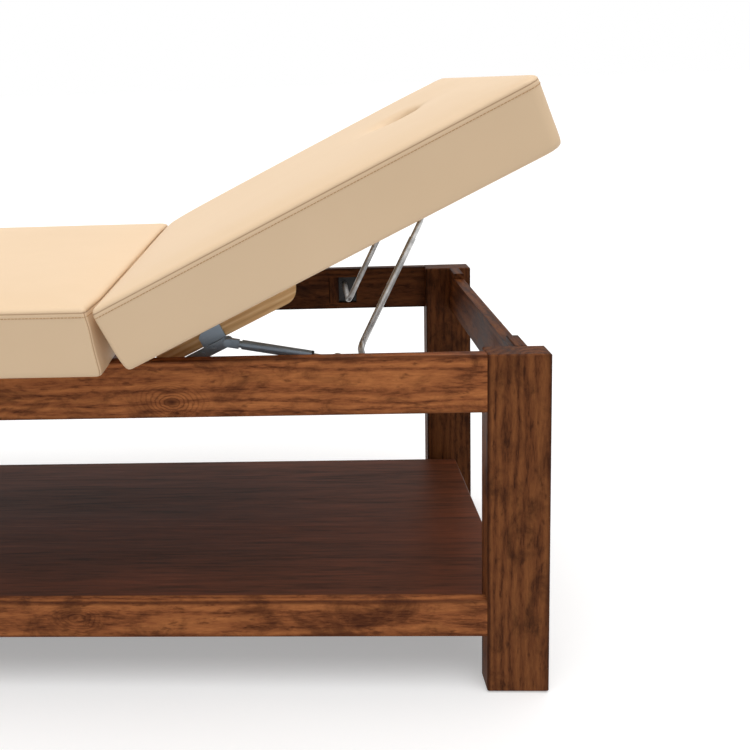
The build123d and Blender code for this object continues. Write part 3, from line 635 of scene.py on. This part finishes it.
def fill_with_foam(piece, held, swell, side_swell):
    """Fill the cover with foam: a short cloth simulation under pressure, its movement capped."""
    rest = [vertex.co.copy() for vertex in piece.data.vertices]
    group = piece.vertex_groups.new(name="held")
    for vertex in piece.data.vertices:
        group.add([vertex.index], held(vertex.co), "REPLACE")
    choose(piece)
    # A stiff skin that the foam presses out
    foam = piece.modifiers.new("foam", "CLOTH")
    settings = foam.settings
    settings.quality = 6
    settings.mass = 0.4
    settings.tension_stiffness = settings.compression_stiffness = 18
    settings.shear_stiffness = 8
    settings.bending_stiffness = 1.2
    settings.use_pressure = True
    settings.uniform_pressure_force = 4
    settings.vertex_group_mass = "held"
    settings.effector_weights.gravity = 0
    foam.collision_settings.use_collision = False
    scene = bpy.context.scene
    scene.frame_start = foam.point_cache.frame_start = 1
    scene.frame_end = foam.point_cache.frame_end = FOAM_FRAMES
    for number in range(1, FOAM_FRAMES + 1):
        scene.frame_set(number)
    bpy.ops.object.modifier_apply(modifier="foam")
    scene.frame_set(1)
    limits = (side_swell, side_swell, swell)
    for vertex, start in zip(piece.data.vertices, rest):
        moved = vertex.co - start
        vertex.co = start + Vector([limit * math.tanh(m / limit) for m, limit in zip(moved, limits)])
    piece.vertex_groups.clear()


def stitch_row(name, piece, ring, material):
    """A row of stitches along a ring of the cover: one stitch, repeated and bent along the ring."""
    choose(piece)
    bpy.ops.object.duplicate()
    line = bpy.context.object
    wanted = set(ring)
    bpy.ops.object.mode_set(mode="EDIT")
    pick(line, lambda e: e.verts[0].index in wanted and e.verts[1].index in wanted, "EDGE")
    bpy.ops.mesh.select_all(action="INVERT")
    bpy.ops.mesh.delete(type="EDGE")
    bpy.ops.object.mode_set(mode="OBJECT")
    bpy.ops.object.convert(target="CURVE")
    line = bpy.context.object
    length = sum(spline.calc_length() for spline in line.data.splines)
    pitch = bpy.context.scene.upholstery.stitch_pitch
    deselect()
    bpy.ops.mesh.primitive_cylinder_add(
        vertices=6,
        radius=THREAD_RADIUS,
        depth=pitch * STITCH_SHARE,
        rotation=(0, math.pi / 2, 0),
    )
    stitch = bpy.context.object
    stitch.name = stitch.data.name = name
    bpy.ops.object.transform_apply(location=True, rotation=True, scale=True)
    bpy.ops.object.mode_set(mode="EDIT")
    # Its ends taper
    pick(stitch, lambda f: abs(f.normal.x) > 0.9, "FACE")
    bpy.ops.mesh.inset(thickness=THREAD_RADIUS * 0.4)
    bpy.ops.transform.resize(value=(1.25, 1, 1), center_override=(0, 0, 0))
    bpy.ops.object.mode_set(mode="OBJECT")
    row = stitch.modifiers.new("row", "ARRAY")
    row.use_relative_offset = False
    row.use_constant_offset = True
    row.constant_offset_displace = (pitch, 0, 0)
    row.fit_type = "FIXED_COUNT"
    row.count = int(length / pitch)
    bend = stitch.modifiers.new("bend", "CURVE")
    bend.object = line
    bend.deform_axis = "POS_X"
    apply_all(stitch)
    bpy.data.objects.remove(line)
    give(stitch, material)
    return stitch


def mm(*values):
    """Millimetres to metres."""
    return tuple(v / 1000 for v in values)


# The outlines that a cover is drawn up through: height, half width, and where its hinge end and far end
# lie. The first lies on the cushion's board, the second is the cover's lower edge round that board, and
# the last is on the crown. The flat cushion's heights are from the floor. The backrest's cushion is
# lying down, its heights from its lower edge and its lengths from the hinge.
FLAT_RINGS = [
    mm(565.4, 351.2, 245.4, -903.7),
    mm(550.0, 351.2, 245.4, -903.7),
    mm(549.6, 354.5, 248.5, -907.5),
    mm(551.2, 358.2, 253.4, -911.3),
    mm(556.0, 359.6, 254.8, -912.4),
    mm(578.0, 358.9, 254.6, -911.8),
    mm(599.0, 358.4, 253.2, -911.3),
    mm(618.0, 358.7, 250.2, -911.6),
    mm(631.0, 359.1, 245.0, -912.0),
    mm(637.5, 359.2, 242.0, -912.1),
    mm(642.6, 359.8, 240.0, -912.5),
    mm(643.8, 358.5, 238.8, -911.2),
    mm(645.0, 359.7, 239.8, -912.3),
    mm(649.5, 357.4, 237.4, -910.0),
    mm(652.0, 352.6, 232.8, -905.2),
    mm(653.2, 344.0, 224.2, -896.6),
    mm(653.8, 325.0, 205.0, -877.6),
    mm(654.2, 290.0, 169.0, -842.0),
]
BACK_RINGS = [
    mm(15.4, 351.2, 10.4, 681.5),
    mm(0.0, 351.2, 10.4, 681.5),
    mm(-0.6, 354.5, 7.2, 685.5),
    mm(1.2, 358.2, 4.6, 689.3),
    mm(6.0, 359.6, 3.6, 691.5),
    mm(28.0, 358.9, 3.5, 693.8),
    mm(49.0, 358.4, 3.5, 696.4),
    mm(66.0, 358.7, 3.2, 698.3),
    mm(80.0, 359.1, -1.6, 699.8),
    mm(87.5, 359.2, -4.2, 700.5),
    mm(92.6, 359.8, -5.4, 701.5),
    mm(93.8, 358.5, -4.1, 700.2),
    mm(95.0, 359.7, -5.2, 701.5),
    mm(99.5, 357.4, -3.2, 699.5),
    mm(102.0, 352.6, 1.4, 694.9),
    mm(103.2, 344.0, 10.0, 686.3),
    mm(103.8, 325.0, 29.0, 667.3),
    mm(104.2, 290.0, 64.0, 632.3),
]
BASE_RING, WIDEST_RING, STITCH_RING, GROOVE_RING = 1, 4, 9, 11
# How far the front corner at the hinge end is shifted, toward the foot where negative, by its height
# above the base, both in millimetres. The rear corner is shifted toward the head, by REAR_CORNER.
FLAT_CORNERS = [(0, -2), (28, -8), (50, -11), (68, -10.2), (81, -9.3), (93, -6.5), (104, -5)]
BACK_CORNERS = [(0, -7), (6, -9), (28, -11), (66, -11), (80, -6.5), (92, -2), (104, -1)]
REAR_CORNER = 0.005
# How far from the middle line that shift begins and is whole
CORNER_START, CORNER_FULL = 0.285, 0.345
# Radii of a cover's upright corners
HINGE_CORNER, FAR_CORNER = 0.006, 0.024
# Where the frame's sides lie under the covers, and how wide the cover's bend beyond them is
FRAME_SIDE, SIDE_BEND = 0.306, 0.008
# How far the sides are drawn in halfway along, how far the lip hangs over the frame and how high it is
SIDE_PULL, LIP_HANG, LIP_HEIGHT = 0.0022, 0.0028, 0.012
# Furthest that the foam pushes the sides out, and the rise of the top without a simulation
SIDE_SWELL, QUICK_RISE = 0.0015, 0.004
# How deep the corner seams sink, and how deep where they meet the groove
CORNER_SINK, CORNER_PIT = 0.0013, 0.003
FOAM_FRAMES = 20
THREAD_RADIUS = 0.0007
# How much of the distance from stitch to stitch is thread
STITCH_SHARE = 0.68
# The face slot in the backrest: its middle's distance from the hinge, half its length, half its width,
# and how far it flares out at the top
FACE_SLOT = (0.536, 0.038, 0.033, 0.012)
# Round the face slot: how far the near rim dips, the far lip stands up and the crease sinks
NEAR_DIP, FAR_LIP, CREASE = 0.0095, 0.003, 0.005
# How near a point counts as at a height
NEAR = 2e-4


def corner_shift(profile, height, across):
    """How far a point of the hinge end moves along the table, from its height and its place across."""
    share = min(max((abs(across) - CORNER_START) / (CORNER_FULL - CORNER_START), 0), 1)
    share = share * share * (3 - 2 * share)
    height = min(max(height * 1000, profile[0][0]), profile[-1][0])
    if across > 0:
        return share * REAR_CORNER * min(max((height - 60) / 30, 0), 1)
    for (low, at_low), (high, at_high) in zip(profile, profile[1:]):
        if height <= high:
            return share * (at_low + (at_high - at_low) * (height - low) / (high - low)) / 1000


def corner_columns(points, rings):
    """The vertices halfway round the two corners at the hinge end, between the base and the seam."""
    found = []
    for height, half, near, _ in rings[BASE_RING + 2 : GROOVE_RING + 1]:
        for i, co in enumerate(points):
            across, along = half - abs(co.y), abs(co.x - near)
            if abs(co.z - height) < NEAR and across < HINGE_CORNER and abs(across - along) < 3e-4:
                found.append(i)
    return found


def open_slot(piece, bottom, top):
    """Open the oval way for the face: rims cut from the grid, snapped to the oval and bridged."""
    x, half_length, half_width, flare = FACE_SLOT

    def inside(co, grow):
        return math.hypot((co.x - x) / (half_length + grow), co.y / (half_width + grow)) < 1

    def snap(co, grow):
        angle = math.atan2(co.y, co.x - x)
        a, b = half_length + grow, half_width + grow
        reach = a * b / math.hypot(b * math.cos(angle), a * math.sin(angle))
        co.x, co.y = x + reach * math.cos(angle), reach * math.sin(angle)

    def on_face(face):
        middle = face.calc_center_median()
        level = min(abs(middle.z - top), abs(middle.z - bottom)) < 1e-3
        return level and abs(face.normal.z) > 0.9 and inside(middle, flare)

    pick(piece, on_face, "FACE")
    bpy.ops.mesh.delete(type="FACE")
    mesh = bmesh.from_edit_mesh(piece.data)
    for vertex in mesh.verts:
        if vertex.is_boundary:
            snap(vertex.co, flare if abs(vertex.co.z - top) < 1e-3 else 0.0)
    bmesh.update_edit_mesh(piece.data)
    pick(piece, lambda e: e.is_boundary, "EDGE")
    bpy.ops.mesh.bridge_edge_loops(number_cuts=9, interpolation="LINEAR")
    mesh = bmesh.from_edit_mesh(piece.data)
    for vertex in mesh.verts:
        if bottom + 1e-4 < vertex.co.z < top - 1e-4 and inside(vertex.co, flare + 0.002):
            depth = (top - vertex.co.z) / (top - bottom)
            snap(vertex.co, flare * max(0, 1 - depth * 4) ** 2)
    bmesh.update_edit_mesh(piece.data)


def bell(distance, width):
    """A smooth hill of height 1 at no distance."""
    return math.exp(-((distance / width) ** 2))


def face_folds(co):
    """How the top lies round the face slot: the near rim dips in a fold, the far lip stands up, and a
    shallow crease runs off toward the hinge."""
    x = FACE_SLOT[0]
    # Where the near rim is, at the top; nothing moves in the slot's lower half
    rim = x - 0.034
    share = min(max((co.z - 0.045) / 0.045, 0), 1)
    near_dip = -NEAR_DIP * bell(co.x - x, 0.02) * (bell(co.y + 0.04, 0.03) if co.y < 0.01 else 0)
    far_lip = FAR_LIP * bell(co.x - x - 0.005, 0.036) * bell(co.y - 0.052, 0.02)
    along = min(max((rim - co.x) / 0.11, 0), 1)
    line = -0.02 - 0.045 * along
    crease = -CREASE * (1 - along) * bell(co.y - line, 0.009) if co.x < rim else 0
    return share * (near_dip + far_lip + crease)


def upholster(name, rings, corners, pitch, lip, seamed, slotted):
    """A cushion's cover, lying flat, filled, seamed and stitched, and its row of stitches.

    pitch is the size of the cover's grid, and lip tells whether a point hangs over the frame.
    """
    piece = cover_block(name, rings, HINGE_CORNER, FAR_CORNER)
    near, far = rings[WIDEST_RING][2:]
    way = 1 if far > near else -1
    # The grid stays clear of the rounded corners
    side, bent = FRAME_SIDE, FRAME_SIDE + SIDE_BEND
    cut_grid(
        steps(near + way * 0.022, far - way * 0.045, pitch),
        [-bent, -side, *steps(-side, side, pitch), side, bent],
    )
    bpy.ops.mesh.select_all(action="SELECT")
    bpy.ops.mesh.remove_doubles(threshold=0.00005)
    bpy.ops.mesh.normals_make_consistent(inside=False)
    if slotted:
        open_slot(piece, rings[0][0], rings[-1][0])
    bpy.ops.object.mode_set(mode="OBJECT")

    points = [vertex.co.copy() for vertex in piece.data.vertices]

    def on_ring(ring):
        # All but the middle of the hinge end, where the seam's ends are hidden between the cushions
        height = rings[ring][0]
        return [
            i
            for i, co in enumerate(points)
            if abs(co.z - height) < NEAR and abs(co.y) + abs(co.x - near) > 0.1
        ]

    stitched, groove = on_ring(STITCH_RING), on_ring(GROOVE_RING)
    beside = on_ring(GROOVE_RING + 1) + on_ring(GROOVE_RING - 1)
    columns = corner_columns(points, rings) if seamed else []

    # The cover is drawn in between its corners, and hangs a little below the frame's top beyond it
    middle, reach = (near + far) / 2, abs(far - near) / 2
    base, top = rings[BASE_RING][0], rings[GROOVE_RING][0]
    for vertex in piece.data.vertices:
        co = vertex.co
        rise = (co.z - base) / (top - base)
        if 0.02 < rise < 1.2 and abs(co.y) > 0.3:
            bow = 1 - ((co.x - middle) / reach) ** 2
            co.y -= math.copysign(SIDE_PULL * max(0, bow), co.y)
        if base - 0.002 < co.z < base + LIP_HEIGHT and lip(co):
            co.z -= LIP_HANG * (1 - max(0, co.z - base) / LIP_HEIGHT)
        # The corners' shift fades out over 90 mm
        co.x += max(0, 1 - abs(co.x - near) / 0.09) * corner_shift(corners, co.z - base, co.y)

    def held(co):
        # The underside keeps its place, the sides give a little, and the crown above the seam is free
        rise = (co.z - base) / (top - base)
        return 1.0 if rise < 0.12 else 0.8 if rise < 1.105 else 0.0

    fill_with_foam(piece, held, bpy.context.scene.upholstery.swell, SIDE_SWELL)
    if slotted:
        for vertex in piece.data.vertices:
            vertex.co.z += face_folds(vertex.co)

    # The seams sink in, and painted shade darkens them: all round under the top, and down the corners
    # at the hinge end
    # How much painted shade the points of each seam get
    depth = {}
    for found, dark in ((beside, 0.12), (stitched, 0.3), (groove, 1.0), (columns, 1.0)):
        depth.update({i: dark for i in found})
    for i in columns:
        co = piece.data.vertices[i].co
        out = Vector((-way, math.copysign(1, co.y), 0)).normalized()
        piece.data.vertices[i].co = co - out * (CORNER_PIT if i in groove else CORNER_SINK)
    seam_shade = piece.data.attributes.new("seam_shade", "FLOAT", "POINT")
    seam_shade.data.foreach_set("value", [depth.get(i, 0.0) for i in range(len(points))])

    row = stitch_row(name + "_stitching", piece, stitched, bpy.data.materials["sewing_thread"])
    choose(piece)
    smooth = piece.modifiers.new("smooth", "SUBSURF")
    smooth.levels = smooth.render_levels = 1
    apply_all(piece)
    bpy.ops.object.shade_smooth()
    give(piece, bpy.data.materials["cream_vinyl"])
    return piece, row


class TABLE_OT_vinyl(bpy.types.Operator):
    """Make the vinyl and the thread"""

    bl_idname = "massage_table.vinyl"
    bl_label = "Vinyl and thread"

    def execute(self, context):
        cream_vinyl()
        sewing_thread()
        return {"FINISHED"}


class TABLE_OT_flat_cushion(bpy.types.Operator):
    """Upholster the flat section's cushion"""

    bl_idname = "massage_table.flat_cushion"
    bl_label = "Flat cushion"

    def execute(self, context):
        cover, row = upholster(
            "flat_cover",
            FLAT_RINGS,
            FLAT_CORNERS,
            pitch=0.018,
            lip=lambda co: abs(co.y) > 0.31 or co.x < -0.885,
            seamed=True,
            slotted=False,
        )
        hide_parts("flat_cushion")
        for piece in (cover, row):
            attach(piece, "frame")
        return {"FINISHED"}


class TABLE_OT_back_cushion(bpy.types.Operator):
    """Upholster the backrest's cushion, with its face opening, and raise it to its angle at rest"""

    bl_idname = "massage_table.back_cushion"
    bl_label = "Backrest cushion"

    def execute(self, context):
        cover, row = upholster(
            "back_cover",
            BACK_RINGS,
            BACK_CORNERS,
            pitch=0.0145,
            lip=lambda co: abs(co.y) > 0.31 or co.x > 0.672,
            seamed=False,
            slotted=True,
        )
        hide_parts("back_cushion")
        for piece in (cover, row):
            choose(piece)
            piece.matrix_world = (
                Matrix.Translation(HINGE)
                @ Matrix.Rotation(-TILT, 4, "Y")
                @ Matrix.Translation((0, 0, -UNDERSIDE_DROP))
            )
            bpy.ops.object.transform_apply(location=True, rotation=True, scale=True)
            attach(piece, "backrest")
        return {"FINISHED"}


# Finishes of the carried-over nodes

RAIL_KNOTS = ((Vector((0.342, -0.302, 0.486)), 0.034), (Vector((0.347, -0.302, 0.472)), 0.012))
SHELF_KNOTS = ((Vector((0.172, -0.302, 0.128)), 0.032), (Vector((0.2, -0.302, 0.119)), 0.014))
# Each board's grain direction, its brightness and its knots, which are a place and a width each. The
# brightness is a little of the board's own stain and mostly painted light and shade: lighter for the
# lit front boards, darker for the shaded rear and inner ones
TIMBERS = {
    "leg_front_head": ("Z", 0.62, ()),
    "leg_front_foot": ("Z", 0.65, ()),
    "leg_rear_head": ("Z", 0.43, ()),
    "leg_rear_foot": ("Z", 0.54, ()),
    "side_rail_front": ("X", 1.27, RAIL_KNOTS),
    "side_rail_rear": ("X", 0.37, ()),
    "end_rail_head": ("Y", 0.54, ()),
    "end_rail_foot": ("Y", 0.59, ()),
    "cross_rail_1": ("Y", 0.54, ()),
    "cross_rail_2": ("Y", 0.54, ()),
    "cross_rail_3": ("Y", 0.54, ()),
    "shelf_rail_front": ("X", 1.19, SHELF_KNOTS),
    "shelf_rail_rear": ("X", 0.54, ()),
    "shelf_end_rail_head": ("Y", 0.54, ()),
    "shelf_end_rail_foot": ("Y", 0.54, ()),
    "shelf_ledger_front": ("X", 0.54, ()),
    "shelf_ledger_rear": ("X", 0.54, ()),
    "shelf_batten_1": ("Y", 0.54, ()),
    "shelf_batten_2": ("Y", 0.54, ()),
    "shelf_batten_3": ("Y", 0.54, ()),
    "pivot_block_front": ("Z", 0.49, ()),
    "pivot_block_rear": ("Z", 0.36, ()),
}


class TABLE_OT_timber(bpy.types.Operator):
    """Stain every board of the frame and the shelf"""

    bl_idname = "massage_table.timber"
    bl_label = "Stained timber"

    def execute(self, context):
        # Each board's pattern starts elsewhere
        for number, (node, (grain, stain_and_shade_tone, knots)) in enumerate(TIMBERS.items()):
            give(nodes[node], timber(node, grain, stain_and_shade_tone, knots, number * 0.37))
        give(nodes["shelf_board"], shelf_panel())
        return {"FINISHED"}


class TABLE_OT_pale_wood(bpy.types.Operator):
    """Finish the bearers, runners and cushion boards"""

    bl_idname = "massage_table.pale_wood"
    bl_label = "Pale wood"

    def execute(self, context):
        tilted = planed_pine("planed_pine_raised", TILT)
        for node in ("bearer_front", "bearer_rear", "runner_front", "runner_rear", "back_end_board"):
            give(nodes[node], tilted)
        give(nodes["flat_end_board"], planed_pine("planed_pine_level"))
        give(nodes["flat_board"], birch_plywood("birch_plywood_level", FRAME_TOP))
        give(nodes["back_board"], birch_plywood("birch_plywood_raised", 0.0, TILT))
        return {"FINISHED"}


class TABLE_OT_fittings(bpy.types.Operator):
    """Finish the prop, the strut, the hinge and the screws"""

    bl_idname = "massage_table.fittings"
    bl_label = "Steel fittings"

    def execute(self, context):
        rods = ("prop_tube_front", "prop_tube_rear", "prop_rod", "strut_rod")
        screws = (
            "flat_board_screws",
            "bearer_screws",
            "bearer_studs",
            "strut_clip",
            "strut_bracket_screws",
        )
        hinge = (
            "hinge_leaves_fixed",
            "hinge_leaves_moving",
            "hinge_pins",
            "hinge_screws_fixed",
            "hinge_screws_moving",
        )
        mechanism = (
            "strut_arm",
            "strut_plate",
            "strut_plate_screws",
            "strut_bracket",
            "strut_tube",
            "strut_lug",
            "strut_rivet",
        )
        pivots = ("pivot_plate_front", "pivot_plate_rear")
        for material, names in (
            (zinc_plate("zinc_plated_rod", "#d0cfcd", "#a9a9a8", 0.42), rods),
            (zinc_plate("zinc_plated_screws", "#c8c6c0", "#9c9a95", 0.3), screws),
            # The hinge's zinc is painted near black: painted shade for the dark gap between the
            # cushions where it shows
            (zinc_plate("zinc_hinge_painted_dark_as_shade", "#45423d", "#2c2a27", 0.55), hinge),
            (stoved_paint("grey_blue_enamel", "#8492a0", "#a9b3bc"), mechanism),
            (stoved_paint("black_enamel", "#161413", "#3a3531"), pivots),
            (moulded_rubber(), ("strut_seal",)),
        ):
            for node in names:
                give(nodes[node], material)
        return {"FINISHED"}


# Stage

# The camera, fitted to the legs, rails, shelf and cushion edges in the photo: its place, its angles in
# radians, its lens in millimetres, and its shift in widths of the picture
CAMERA_PLACE = (0.5438, -1.477, 0.9592)
YAW, PITCH, ROLL = 0.05281, 0.1324, -0.03773
LENS, SHIFT_X, SHIFT_Y = 38.95, 0.16, -0.2425
# How white the floor is, and how much of the white that the eye sees is its own
PAPER_WHITE, PAPER_GLOW = 0.75, 0.345


def backdrop_rays(tree):
    """A factor of 1 for the rays that see the background: from the camera, a gloss or a glass."""
    path = add(tree, "LightPath").outputs
    seen = path["Is Camera Ray"]
    for ray in ("Is Glossy Ray", "Is Transmission Ray"):
        seen = add(tree, "Math", {0: seen, 1: path[ray]}, operation="MAXIMUM")
    return seen


class TABLE_OT_stage(bpy.types.Operator):
    """Set the floor, the light and the camera"""

    bl_idname = "massage_table.stage"
    bl_label = "Stage"

    def execute(self, context):
        settings = context.scene.table_stage
        scene = context.scene
        deselect()
        # The floor reaches the horizon
        bpy.ops.mesh.primitive_plane_add(size=400)
        floor = context.object
        floor.name = "floor"
        # White paper sweep: the eye sees part its own white and part the light that falls on it
        material, tree, shader = new_material(
            "white_paper", Base_Color=(PAPER_WHITE,) * 3 + (1,), Roughness=0.9, Specular_IOR_Level=0.0
        )
        glow = {0: backdrop_rays(tree), 1: PAPER_GLOW}
        glow = add(tree, "Math", glow, operation="MULTIPLY")
        feed(tree, shader, {"Emission Color": (1, 1, 1, 1), "Emission Strength": glow})
        give(floor, material)

        # The room lights the table evenly and is white where the eye sees it
        world = bpy.data.worlds.new("studio")
        scene.world = world
        world.use_nodes = True
        tree = world.node_tree
        tree.nodes.clear()
        light = add(tree, "Background", {"Strength": settings.fill, "Color": (1, 1, 1, 1)})
        white = add(tree, "Background", {"Strength": 1.0, "Color": (1, 1, 1, 1)})
        both = add(tree, "MixShader", {0: backdrop_rays(tree), 1: light, 2: white})
        add(tree, "OutputWorld", {"Surface": both})

        # A wide soft light from overhead and a little in front
        bpy.ops.object.light_add(type="SUN")
        lamp = context.object
        lamp.name = "overhead"
        lamp.data.energy = settings.key_power
        lamp.data.angle = math.radians(70)
        lamp.rotation_euler = (math.radians(7), math.radians(2), 0)

        right = Vector((math.cos(YAW), math.sin(YAW), 0))
        level = math.cos(PITCH)
        ahead = Vector((-math.sin(YAW) * level, math.cos(YAW) * level, -math.sin(PITCH)))
        up = right.cross(ahead)
        turned = math.cos(ROLL) * right + math.sin(ROLL) * up
        raised = -math.sin(ROLL) * right + math.cos(ROLL) * up
        bpy.ops.object.camera_add()
        camera = context.object
        camera.matrix_world = Matrix.Translation(CAMERA_PLACE) @ Matrix(
            (turned, raised, -ahead)
        ).transposed().to_4x4()
        camera.data.lens = LENS
        camera.data.shift_x, camera.data.shift_y = SHIFT_X, SHIFT_Y
        scene.camera = camera
        scene.view_settings.view_transform = "Standard"
        return {"FINISHED"}


class TABLE_PT_panel(bpy.types.Panel):
    bl_label = "Massage table"
    bl_idname = "TABLE_PT_panel"
    bl_space_type = "VIEW_3D"
    bl_region_type = "UI"
    bl_category = "Massage table"

    def draw(self, context):
        for settings in (context.scene.timber, context.scene.upholstery, context.scene.table_stage):
            box = self.layout.box()
            for key in settings.__annotations__:
                box.prop(settings, key)
        for operator in OPERATORS:
            self.layout.operator(operator.bl_idname)


OPERATORS = (
    TABLE_OT_vinyl,
    TABLE_OT_timber,
    TABLE_OT_pale_wood,
    TABLE_OT_fittings,
    TABLE_OT_flat_cushion,
    TABLE_OT_back_cushion,
    TABLE_OT_stage,
)
CLASSES = (TimberSettings, UpholsterySettings, StageSettings, *OPERATORS, TABLE_PT_panel)


def register():
    for each in CLASSES:
        bpy.utils.register_class(each)
    bpy.types.Scene.timber = bpy.props.PointerProperty(type=TimberSettings)
    bpy.types.Scene.upholstery = bpy.props.PointerProperty(type=UpholsterySettings)
    bpy.types.Scene.table_stage = bpy.props.PointerProperty(type=StageSettings)


def unregister():
    del bpy.types.Scene.table_stage, bpy.types.Scene.upholstery, bpy.types.Scene.timber
    for each in reversed(CLASSES):
        bpy.utils.unregister_class(each)


def main():
    register()
    for operator in OPERATORS:
        group, name = operator.bl_idname.split(".")
        getattr(getattr(bpy.ops, group), name)()
    deselect()


if __name__ == "__main__":
    main()
